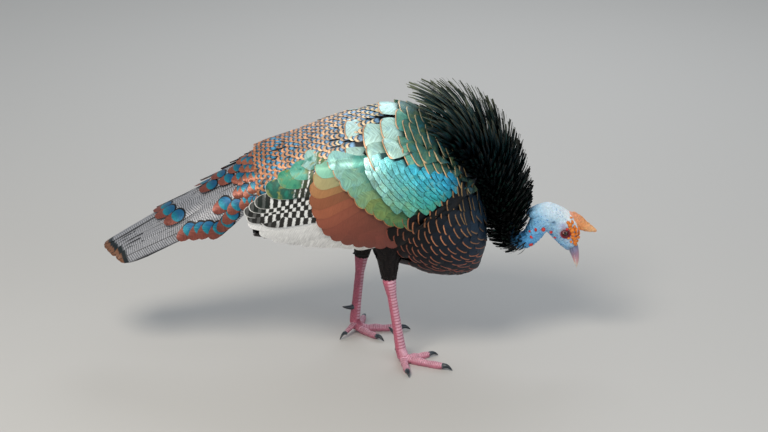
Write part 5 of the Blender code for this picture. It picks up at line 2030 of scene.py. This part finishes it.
        return tint_with(obj, np.concatenate(colours), finish.build())


@dataclass(frozen=True)
class SkinFinish:
    """Bare skin: soft and faintly moist, with pores and fine wrinkles that break up its gloss."""

    name: str
    roughness: float = 0.42
    pore: float = 0.0012
    depth: float = 0.35
    subsurface: float = 0.12

    def build(self) -> Material:
        """Makes the material.

        Returns:
            The material.
        """
        material, tree, shader = new_material(self.name)
        place = add(tree, "TexCoord").outputs["Object"]
        tint = add(tree, "Attribute", attribute_name="tint").outputs["Color"]
        cells = add(tree, "TexVoronoi", {"Vector": place, "Scale": 1 / self.pore}, feature="F1")
        noise = add(tree, "TexNoise", {"Vector": place, "Scale": 0.35 / self.pore, "Detail": 4.0})
        tone = add(tree, "MapRange", (noise, 0.3, 0.7, 0.84, 1.14))
        pores = add(tree, "MapRange", (cells, 0.0, 0.7, 1.08, 0.86))
        both = add(tree, "Math", (tone, pores), operation="MULTIPLY")
        colour = add(tree, "VectorMath", {0: tint, "Scale": both}, operation="SCALE")
        height = add(tree, "Math", (noise, cells), operation="SUBTRACT")
        bump = add(tree, "Bump", {"Strength": self.depth, "Distance": 0.0005, "Height": height})
        feed(tree, shader, {"Base Color": colour, "Normal": bump, "Roughness": self.roughness, "IOR": 1.4})
        flesh = {"Weight": self.subsurface, "Radius": (0.003, 0.0012, 0.0008), "Scale": 1.0}
        feed(tree, shader, {f"Subsurface {key}": value for key, value in flesh.items()})
        return material


@dataclass
class Face:
    """The eyes with their lids, the snood and the bill."""

    head: HeadForm = HeadForm()
    eye: Triple = (0.019, 0.0098, 0.003)
    eye_radius: float = 0.007
    pupil: float = 0.0023
    iris: float = 0.0046
    # Rings of lid: radius, thickness, how far out, height to width.
    lids: tuple = (
        (0.0057, 0.0009, 0.0064, 0.84), (0.0071, 0.0008, 0.0056, 0.88), (0.0085, 0.0006, 0.0046, 0.92)
    )
    snood_axis: tuple = (
        (0.34, 0.216), (0.3485, 0.215), (0.3575, 0.2095), (0.3665, 0.203), (0.375, 0.1985),
        (0.3825, 0.1955), (0.3875, 0.193)
    )
    snood_radii: tuple = (0.0085, 0.0104, 0.0102, 0.0086, 0.0064, 0.004, 0.0014)
    # The snood is flattened from side to side.
    snood_flat: float = 0.68
    bill_length: float = 0.033
    bill_drop: float = 0.015
    # Share of the length, half width, height of the upper half.
    bill: tuple = (
        (0.0, 0.0084, 0.0092), (0.2, 0.0078, 0.009), (0.45, 0.0064, 0.0076), (0.7, 0.0043, 0.0056),
        (0.88, 0.0024, 0.0036), (0.97, 0.0012, 0.0022), (1.0, 0.0004, 0.001)
    )

    def eyes(self) -> None:
        """Makes the two eyes, each with a clear bulge over the iris."""
        for side in Side:
            lat = np.linspace(0.02, math.pi - 0.02, 30)
            turn = round_ring(32)
            reach = self.eye_radius * np.sin(lat)[:, None]
            level = np.cos(lat)[:, None]
            out = self.eye_radius * level + 0.0007 * np.exp(-((reach / 0.0042) ** 2)) * (level > 0)
            own = np.stack([reach * np.cos(turn), np.broadcast_to(out, (30, 32)), reach * np.sin(turn)], -1)
            own = own * side.flip
            centre = np.array([self.eye[0], self.eye[1] * side.value, self.eye[2]])
            obj = loft(f"eyeball_{side.label}", self.head.place(own + centre))
            far = (np.where(level > 0, reach, 1.0) * np.ones(32)).ravel()
            dark, brown, rim = linear("#040303"), linear("#4A2413"), linear("#150A07")
            brown = brown * (0.6 + 1.2 * (far / self.iris) ** 2)[:, None]
            tone = np.where((far < self.pupil)[:, None], dark, brown)
            tone = np.where((far > self.iris * 0.88)[:, None], rim, tone)
            tint_with(obj, tone, EyeFinish("cornea_and_iris").build())
            seat(obj, "eye", f"eye_{side.label}")

    def eyelids(self) -> Thing:
        """Makes the rings of lids, finely beaded.

        Returns:
            The lids, in one piece.
        """
        points, faces, colours = [], [], []
        steps, sides = 56, 10
        t = round_ring(steps)[:, None]
        u = round_ring(sides)[None, :]
        for side in Side:
            for k, (large, small, aside, flat) in enumerate(self.lids):
                bead = 1 + 0.28 * np.sin(t * (17 + 4 * k) + k) * (np.cos(u) > -0.3)
                reach = large + small * bead * np.cos(u)
                squeeze = flat * (1 - 0.1 * np.abs(np.cos(t)) ** 3)
                out = np.broadcast_to(small * bead * np.sin(u), reach.shape)
                own = np.stack([reach * np.cos(t) * 1.04, out, reach * np.sin(t) * squeeze], -1)
                centre = np.array([self.eye[0], self.eye[1] + aside, self.eye[2]])
                own = (own + centre) * side.flip
                start = sum(len(part) for part in points)
                for i in range(steps):
                    for j in range(sides):
                        a, b = start + i * sides, start + (i + 1) % steps * sides
                        faces.append((a + j, a + (j + 1) % sides, b + (j + 1) % sides, b + j))
                points.append(self.head.place(own.reshape(-1, 3)))
                hue = ("#5E1A22", "#8E2634", "#A63A46")[k]
                # The beads are painted lighter than the gaps between them, as painted light and shade.
                colours.append(linear(hue) * (0.8 + 0.3 * np.ravel(bead)[:, None] ** 2))
        obj = put_mesh("eyelids", np.concatenate(points), faces)
        finish = SkinFinish("eyelid_skin", roughness=0.36, pore=0.0008)
        return tint_with(obj, np.concatenate(colours), finish.build())

    def snood(self) -> Thing:
        """Makes the soft, wrinkled snood that hangs off the forehead.

        Returns:
            The snood.
        """
        rows = np.column_stack([np.linspace(0, 1, len(self.snood_axis)), self.snood_axis, self.snood_radii])
        share = np.linspace(0, 1, 90)
        x, z, radius = smooth_rows(rows, share).T
        line = np.stack([x, np.zeros_like(x), z], -1)
        rings = tube_rings(line, radius * np.sqrt(np.clip((1.02 - share) / 0.06, 0.05, 1)), 30)
        flat = rings.reshape(-1, 3)
        out = unit(flat - np.repeat(line, 30, 0))
        fold = np.sin(TURN * (np.repeat(share, 30) * 15 + 0.5 * ripple(flat, 0.01, 12)))
        rise = 0.00026 * fold + 0.0006 * ripple(flat, 0.006, 13)
        flat = (flat + out * rise[:, None]) * np.array([1.0, self.snood_flat, 1.0])
        obj = loft("snood_skin", flat.reshape(rings.shape))
        hues = ((0, "#D9B4B8"), (0.15, "#E8A27C"), (0.45, "#F0A468"), (0.8, "#F4BC86"), (1, "#F0B27E"))
        tone = ramp(hues, np.repeat(share, 30))
        # The wrinkles' crests are painted lighter and their troughs darker, as painted light and shade; the
        # ripple varies the tone at random.
        tone = tone * (1 + 0.06 * fold + 0.1 * ripple(flat, 0.004, 14))[:, None]
        return tint_with(obj, tone, SkinFinish("snood_caruncle", roughness=0.4, subsurface=0.25).build())

    def bill_half(self, upper: bool) -> Thing:
        """Makes one half of the bill.

        Args:
            upper: Whether it is the upper one, which hooks over the lower.

        Returns:
            The half.
        """
        way, length, height = (1, 1.0, 1.0) if upper else (-1, 0.86, 0.62)
        base, level = self.head.stations[-1][:2]
        share = np.r_[np.linspace(0, 0.9, 26), np.linspace(0.915, 1.0, 10)]
        wide, high = (column[:, None] for column in smooth_rows(self.bill, share).T)
        turn = np.linspace(0, 1, 25)[None, :]
        reach = share[:, None] * length
        gape = level - self.bill_drop * reach * (0.55 + 0.45 * share[:, None]) + way * 0.0002
        arch = way * np.pi * turn
        ridge = 1 + 0.1 * np.exp(-(((turn - 0.5) / 0.08) ** 2)) * (1 if upper else 0.4)
        hook = 0.0016 * np.clip((share[:, None] - 0.8) / 0.2, 0, 1) ** 2 if upper else 0.0
        ahead = base - 0.0012 + reach * (self.bill_length + 0.0012)
        ahead = np.broadcast_to(ahead, (len(share), 25))
        over = gape + high * height * ridge * np.sin(arch) - hook
        own = np.stack([ahead, wide * np.cos(arch), over], -1)
        obj = loft("bill_upper_horn" if upper else "bill_lower_horn", self.head.place(own))
        ends = np.repeat(share, 25)
        hues = [(0, "#6F7F9C"), (0.25, "#8E86A4"), (0.5, "#B98C9E"), (0.75, "#D9A6A6")]
        hues += [(0.92, "#E6D2BE"), (1, "#EFE4D2")]
        grain = 1 + 0.06 * np.sin(np.tile(np.linspace(0, 1, 25), len(share)) * 90 + ends * 6)
        return tint_with(obj, ramp(hues, ends) * grain[:, None], HornFinish("bill_rhamphotheca").build())

    def build(self) -> None:
        """Makes the face's pieces."""
        self.eyes()
        seat(self.eyelids(), "bare_skin")
        seat(self.snood(), "caruncle", "snood")
        for upper in (True, False):
            seat(self.bill_half(upper), "bill_horn", "bill_upper" if upper else "bill_lower")


@dataclass(frozen=True)
class EyeFinish:
    """A live eye: iris under a wet, clear cornea, so it takes one sharp highlight."""

    name: str

    def build(self) -> Material:
        """Makes the material.

        Returns:
            The material.
        """
        material, tree, shader = new_material(self.name)
        tint = add(tree, "Attribute", attribute_name="tint").outputs["Color"]
        place = add(tree, "TexCoord").outputs["Object"]
        noise = add(tree, "TexNoise", {"Vector": place, "Scale": 2200.0})
        tone = add(tree, "MapRange", (noise, 0.3, 0.7, 0.7, 1.3))
        colour = add(tree, "VectorMath", {0: tint, "Scale": tone}, operation="SCALE")
        look = {"Base Color": colour, "Roughness": 0.05, "IOR": 1.38}
        feed(tree, shader, {**look, "Coat Weight": 1.0, "Coat Roughness": 0.02})
        return material


@dataclass(frozen=True)
class HornFinish:
    """Horn of bill, claw or spur: grown in thin layers, so it is smooth with faint lengthwise streaks."""

    name: str
    roughness: float = 0.32
    streak: float = 0.0014

    def build(self) -> Material:
        """Makes the material.

        Returns:
            The material.
        """
        material, tree, shader = new_material(self.name)
        tint = add(tree, "Attribute", attribute_name="tint").outputs["Color"]
        place = add(tree, "TexCoord").outputs["Object"]
        fine = add(tree, "TexNoise", {"Vector": place, "Scale": 1 / self.streak, "Detail": 4.0})
        broad = add(tree, "TexNoise", {"Vector": place, "Scale": 0.2 / self.streak, "Detail": 2.0})
        both = add(tree, "Math", (fine, broad), operation="ADD")
        tone = add(tree, "MapRange", (both, 0.7, 1.3, 0.8, 1.18))
        colour = add(tree, "VectorMath", {0: tint, "Scale": tone}, operation="SCALE")
        bump = add(tree, "Bump", {"Strength": 0.2, "Distance": 0.0004, "Height": fine})
        feed(tree, shader, {"Base Color": colour, "Normal": bump, "Roughness": self.roughness, "IOR": 1.55})
        return material


@dataclass(frozen=True)
class LegPlan:
    """Where one leg's joints are, and which way its toes turn."""

    side: Side
    hip: Triple
    hock: Triple
    ball: Triple
    heading: float
    outer_turn: float
    # Factor on the leg's colours: below 1 it darkens the far leg as painted shade.
    shade: float


LEG_PLANS = (
    LegPlan(
        side=Side.RIGHT, hip=(0.062, -0.056, 0.225), hock=(0.0655, -0.066, 0.137),
        ball=(0.0865, -0.064, 0.0), heading=math.radians(-26), outer_turn=math.radians(-56), shade=1.0
    ),
    LegPlan(
        side=Side.LEFT, hip=(0.035, 0.056, 0.225), hock=(0.0215, 0.064, 0.126), ball=(0.015, 0.0595, 0.0),
        heading=math.radians(4), outer_turn=math.radians(-75), shade=0.86
    )
)


@dataclass
class Leg:
    """A scaled shank and foot with claws and a spur, below a feathered thigh."""

    plan: LegPlan
    random: Random
    ankle_back: float = 0.004
    ankle_height: float = 0.024
    # Toes: turn inwards from the heading, length, radius at the root.
    toes: tuple = (
        ("inner", math.radians(50), 0.046, 0.006), ("middle", 0.0, 0.07, 0.0066),
        ("outer", None, 0.05, 0.006), ("hind", math.radians(131), 0.028, 0.0048)
    )
    joints: tuple = ((0.0, 1.15), (0.25, 0.92), (0.42, 1.04), (0.6, 0.84), (0.78, 0.94), (1.0, 0.74))
    hind_joints: tuple = ((0.0, 0.0165, 1.0), (0.3, 0.0148, 1.0), (0.65, 0.0115, 0.85), (1.0, 0.0078, 0.72))
    scute: float = 0.005
    toe_scute: float = 0.0031
    scute_rise: float = 0.0005
    claw: float = 0.015
    spur: float = 0.022
    voxel: float = 0.0012
    # The thigh's feathers: hoops, feathers in a hoop, length, half width.
    hoops: int = 17
    hoop: int = 16
    feather: Pair = (0.024, 0.0052)

    def axis(self) -> Arrays:
        """Works out the ends of the shank.

        Returns:
            The hock, and the ankle.
        """
        ahead = np.array([math.cos(self.plan.heading), math.sin(self.plan.heading), 0.0])
        ankle = np.array(self.plan.ball) - ahead * self.ankle_back + np.array([0.0, 0.0, self.ankle_height])
        return np.array(self.plan.hock), ankle

    def toe_line(self, toe: tuple) -> Arrays:
        """Gives one toe's points and radii.

        Args:
            toe: Its row of the table.

        Returns:
            The points and the radii.
        """
        name, turn, length, radius = toe
        turn = self.plan.outer_turn if turn is None else turn
        way = self.plan.heading - self.plan.side.value * turn
        ahead = np.array([math.cos(way), math.sin(way), 0.0])
        root = np.array(self.plan.ball)
        if name == "hind":
            share, high, size = np.array(self.hind_joints).T
            return root + np.outer(0.004 + length * share, ahead) + np.outer(high, [0, 0, 1]), radius * size
        share, size = np.array(self.joints).T
        radii = radius * size
        rows = root + np.outer(length * share, ahead) + np.outer(radii - 0.0007, [0, 0, 1])
        rows[0] = root + ahead * -0.0022 + [0, 0, 0.0098]
        rows[-1, 2] += 0.0015
        return rows, radii

    def skin(self, nodes: dict) -> None:
        """Models shank and foot as one scaled skin with flat soles.

        Args:
            nodes: The CAD nodes.
        """
        label = self.plan.side.label
        solids = [nodes[f"shank_{label}"], nodes[f"foot_{label}"]]
        obj = remesh(f"leg_skin_{label}", solids, self.voxel, 5)
        places, normals = places_of(obj)
        hock, ankle = self.axis()
        down = unit(ankle - hock)
        chains = [(np.array([hock - down * 0.012, ankle]), self.scute, 2.2)]
        chains += [(self.toe_line(toe)[0], self.toe_scute, 1.0) for toe in self.toes]
        best = np.full(len(places), 1e9)
        run, side_on, pitch_of = (np.zeros(len(places)) for _ in range(3))
        ahead = np.array([math.cos(self.plan.heading), math.sin(self.plan.heading), 0.0])
        for line, pitch, favour in chains:
            done = 0.0
            for a, b in zip(line[:-1], line[1:]):
                size = np.linalg.norm(b - a)
                share = np.clip((places - a) @ (b - a) / size**2, 0, 1)
                gap = np.linalg.norm(places - a - share[:, None] * (b - a), axis=1) / favour
                near = gap < best
                best[near] = gap[near]
                run[near] = done + share[near] * size
                face = ahead if favour > 1 else np.array([0.0, 0.0, 1.0])
                side_on[near] = (normals @ face)[near]
                pitch_of[near] = pitch
                done += size
        front = grow(side_on, 0.05, 0.35)
        wave = run / pitch_of + 0.1 * ripple(places, 0.02, 21)
        plate = np.abs(np.sin(math.pi * wave)) ** 0.45
        net = ripple(places, 0.0034, 22) + 0.7 * ripple(places, 0.0022, 23)
        rise = self.scute_rise * (plate - 0.75) * front + 0.00028 * net * (1 - front)
        rise = rise * np.clip(places[:, 2] / 0.003, 0, 1)
        moved = places + normals * rise[:, None]
        moved[:, 2] = np.where(moved[:, 2] < 0.0009, 0.0, moved[:, 2])
        move_to(obj, moved)
        # The scutes' faces are painted paler as a highlight, and their seams and the hollows of the net
        # darker as painted shade.
        edge = 1 - grow(plate, 0.45, 0.4)
        base, pale, deep = linear("#CC6E84"), linear("#EBBFCE"), linear("#9A4459")
        tone = base + (pale - base) * (front * (1 - edge) * 0.75)[:, None]
        tone = tone + (deep - tone) * (edge * front * 0.75)[:, None]
        tone = tone + (deep - tone) * (np.clip(-net, 0, 1) * (1 - front) * 0.6)[:, None]
        toe = grow(places[:, 2], 0.02, -0.02)[:, None] * 0.45
        tone = tone + (linear("#DCA4B6") - tone) * toe
        # The plan's shade factor darkens the far leg's colours as painted shade.
        tone = tone * (1 + 0.1 * ripple(places, 0.018, 24))[:, None] * self.plan.shade
        tint_with(obj, tone, SkinFinish(f"shank_scale_{label}", 0.46, 0.0011, 0.3, 0.05).build())
        seat(obj, "leg_scale", f"shank_{label}", f"foot_{label}")

    def claws(self) -> None:
        """Makes the four claws and the spur, each curved like the real horn, but round in section without
        its keel.
        """
        label = self.plan.side.label
        for toe in self.toes:
            line, radii = self.toe_line(toe)
            way = unit(line[-1] - line[-2])
            share = np.linspace(0, 1, 22)
            size = radii[-1] * 0.9 * (1 - share) ** 0.72 + 0.00035
            spots = line[-1] - way * 0.0022 + way * (self.claw + 0.0018) * share[:, None]
            start = line[-1][2]
            high = start + 0.0016 * np.sin(math.pi * share)
            low = size + 0.0008
            spots[:, 2] = high * (1 - share**2) + low * share**2
            self.horn(f"claw_horn_{toe[0]}_{label}", spots, size, f"claw_{toe[0]}_{label}")
        hock, ankle = self.axis()
        root = ankle + (hock - ankle) * 0.19
        turn = self.plan.heading + math.pi + self.plan.side.value * math.radians(28)
        back = np.array([math.cos(turn), math.sin(turn), 0.0])
        share = np.linspace(0, 1, 22)
        size = 0.0046 * (1 - share) ** 0.7 + 0.0004
        spots = root + back * (0.0035 + self.spur * share)[:, None]
        spots[:, 2] += 0.0045 * share**2
        self.horn(f"spur_horn_{label}", spots, size, f"spur_{label}")

    def horn(self, name: str, spots: Array, size: Array, node: str) -> None:
        """Makes one claw or spur.

        Args:
            name: The piece's name.
            spots: Its middle line.
            size: Its radii.
            node: The CAD node that it stands for.
        """
        obj = loft(name, tube_rings(spots, size, 18))
        share = np.repeat(np.linspace(0, 1, len(spots)), 18)
        tone = ramp(((0, "#4A5258"), (0.3, "#2C3840"), (1, "#12181C")), share)
        tint_with(obj, tone, HornFinish(name, roughness=0.34, streak=0.0018).build())
        seat(obj, "claw_horn", node)

    def thigh(self, nodes: dict) -> Feathers:
        """Lays short, dark feathers down the thigh.

        Args:
            nodes: The CAD nodes.

        Returns:
            The batch.
        """
        hip, hock = np.array(self.plan.hip), np.array(self.plan.hock)
        down = unit(hock - hip)
        source = nodes[f"thigh_{self.plan.side.label}"]
        shape = source.copy()
        shape.data = source.data.copy()
        places, _ = places_of(shape)
        run = np.clip((places - hip) @ down, 0, None)[:, None]
        spot = hip + run * down
        low = np.clip(run / np.linalg.norm(hock - hip), 0, 1)
        move_to(shape, spot + (places - spot) * (1 - 0.4 * low))
        form = MeshForm(shape)
        bpy.data.objects.remove(shape)
        starts, aims = [], []
        for k, share in enumerate(np.linspace(0.35, 1.02, self.hoops)):
            turn = round_ring(self.hoop) + (k % 2) * math.pi / self.hoop
            turn = turn + self.random.normal(0, 0.06, self.hoop)
            across = unit(np.cross(down, np.array([0.0, 1.0, 0.0])))
            over = np.cross(across, down)
            way = np.cos(turn)[:, None] * across + np.sin(turn)[:, None] * over
            starts.append(hip + (hock - hip) * share + way * 0.06)
            aims.append(-way)
        tips, _ = form.cast(np.concatenate(starts), np.concatenate(aims))
        count = len(tips)
        tone = 1 + self.random.normal(0, 0.15, (count, 1))
        hues = {key: np.tile(linear(hue), (count, 1)) * tone for key, hue in THIGH_HUES.items()}
        return laid(
            form, tips, unit(np.tile(down, (count, 1)) + self.random.normal(0, 0.08, (count, 3))),
            self.feather[0] * (1 + self.random.normal(0, 0.08, count)),
            self.feather[1] * (1 + self.random.normal(0, 0.08, count)), ROUND, hues, lift=(-0.001, 0.0022),
            tilt=self.random.normal(0, 0.0004, count), seeds=self.random.random(count)
        )


THIGH_HUES = {"base_hue": "#0B0A0B", "lit_hue": "#151213", "rim_hue": "#241C1A"}


# The studio


@dataclass(frozen=True)
class Studio:
    """Soft light, a pale floor and the camera of the photograph."""

    target: Triple = (0.05735, 0.0, 0.218)
    elevation: float = math.radians(20)
    distance: float = 4.2
    lens: float = 127.016
    # Place, size, power and hue of each soft light.
    lights: tuple = (
        ("key", (-0.7, -1.5, 2.2), 1.0, 40.0, "#FFF6EA"), ("fill", (1.8, -1.7, 1.0), 1.6, 12.0, "#EAF2FF"),
        ("back", (0.3, 1.8, 1.7), 1.4, 14.0, "#F4F8FF")
    )

    def build(self) -> None:
        """Sets the lights, the floor, the world and the camera."""
        target = Vector(self.target)
        for name, place, size, power, hue in self.lights:
            lamp = bpy.data.lights.new(name, "AREA")
            lamp.shape, lamp.size, lamp.energy = "DISK", size, power
            lamp.color = linear(hue)
            obj = shown(name, lamp)
            obj.location = Vector(place)
            obj.rotation_euler = (target - obj.location).to_track_quat("-Z", "Y").to_euler()
        world = bpy.data.worlds.new("studio")
        world.use_nodes = True
        tree = world.node_tree
        feed(tree, tree.nodes["Background"], {"Color": rgba("#DFE5EC"), "Strength": 0.46})
        bpy.context.scene.world = world
        mesh = bpy.data.meshes.new("floor")
        mesh.from_pydata([(-6, -6, 0), (6, -6, 0), (6, 6, 0), (-6, 6, 0)], [], [(0, 1, 2, 3)])
        material, tree, shader = new_material("floor_paint")
        feed(tree, shader, {"Base Color": rgba("#C9C8C4"), "Roughness": 0.8})
        mesh.materials.append(material)
        shown("floor", mesh)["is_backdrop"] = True
        camera = bpy.data.cameras.new("camera")
        camera.lens, camera.sensor_width = self.lens, 36.0
        camera.clip_start, camera.clip_end = 0.05, 50.0
        eye = shown("camera", camera)
        away = Vector((0.0, -math.cos(self.elevation), math.sin(self.elevation)))
        eye.location = target + away * self.distance
        eye.rotation_euler = (target - eye.location).to_track_quat("-Z", "Y").to_euler()
        bpy.context.scene.camera = eye
        bpy.context.scene.view_settings.view_transform = "Standard"


def measure(label: str, sizes: dict) -> None:
    """Notes the bounds of all that is in the scene, as plain lists."""
    low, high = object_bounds()
    sizes[label] = {"lo": [round(v, 5) for v in low], "hi": [round(v, 5) for v in high]}


# Sizes of the faces of the melted forms that feathers lie on.
BODY_VOXEL, DRAPE_VOXEL = 0.004, 0.005
TRUNK_NODES = ("torso", "wing_right", "wing_left", "thigh_right", "thigh_left")


def main() -> None:
    """Builds the pieces in order, and reports each one."""
    logging.basicConfig(level=logging.INFO, format="%(name)s: %(message)s")
    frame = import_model()
    sizes: dict = {}
    measure("solids", sizes)
    nodes = frame["nodes"]
    random = np.random.default_rng(SEED)
    flesh = BareSkin(random)
    solids = [nodes[key] for key in ("torso", "wing_right", "wing_left")]
    base = remesh("body_form", [*solids, nodes["tail_coverts"]], BODY_VOXEL, 8)
    body = MeshForm(base)
    bpy.data.objects.remove(base)
    base = remesh("drape_form", solids, DRAPE_VOXEL, 50)
    drape = MeshForm(base)
    bpy.data.objects.remove(base)
    neck = flesh.tube(0.0, 0.215)
    coat = remesh("trunk_skin", [neck, *(nodes[key] for key in TRUNK_NODES)], BODY_VOXEL, 6)
    bpy.data.objects.remove(neck)
    places, normals = places_of(coat)
    aft = grow(places[:, 0], 0.03, -0.06) * grow(places[:, 2], 0.26, -0.03)
    places = places - normals * flesh.depth
    places[:, 1] *= 1 - flesh.pinch * aft
    move_to(coat, places)
    skin = flesh.build(coat)
    seat(skin, "bare_skin", *TRUNK_NODES, "head", "neck_skin")
    warts = flesh.warts(MeshForm(skin))
    seat(warts, "bare_skin")
    Face().build()
    thighs = []
    for plan in LEG_PLANS:
        leg = Leg(plan, random)
        leg.skin(nodes)
        leg.claws()
        thighs.append(leg.thigh(nodes))
    finish = ContourFinish("thigh_vanes", ROUND, MATT, rim=0.92, line=0.05)
    seat(weave("thigh_feathers", thighs, finish), "body_plumage")
    for piece, slot in Trunk(body, drape, random, tracts=TRACTS, sheets=SHEETS).build():
        seat(piece, slot)
    for tier, sizes_of in WING_TIERS.items():
        batches = [Wing(side, random, body).batch(sizes_of) for side in Side]
        seat(weave(tier.value, batches, sizes_of.finish), "wing_plumage")
    Tail(random).build()
    Ruff(random).build()
    Studio().build()
    measure("visual", sizes)


if __name__ == "__main__":
    main()
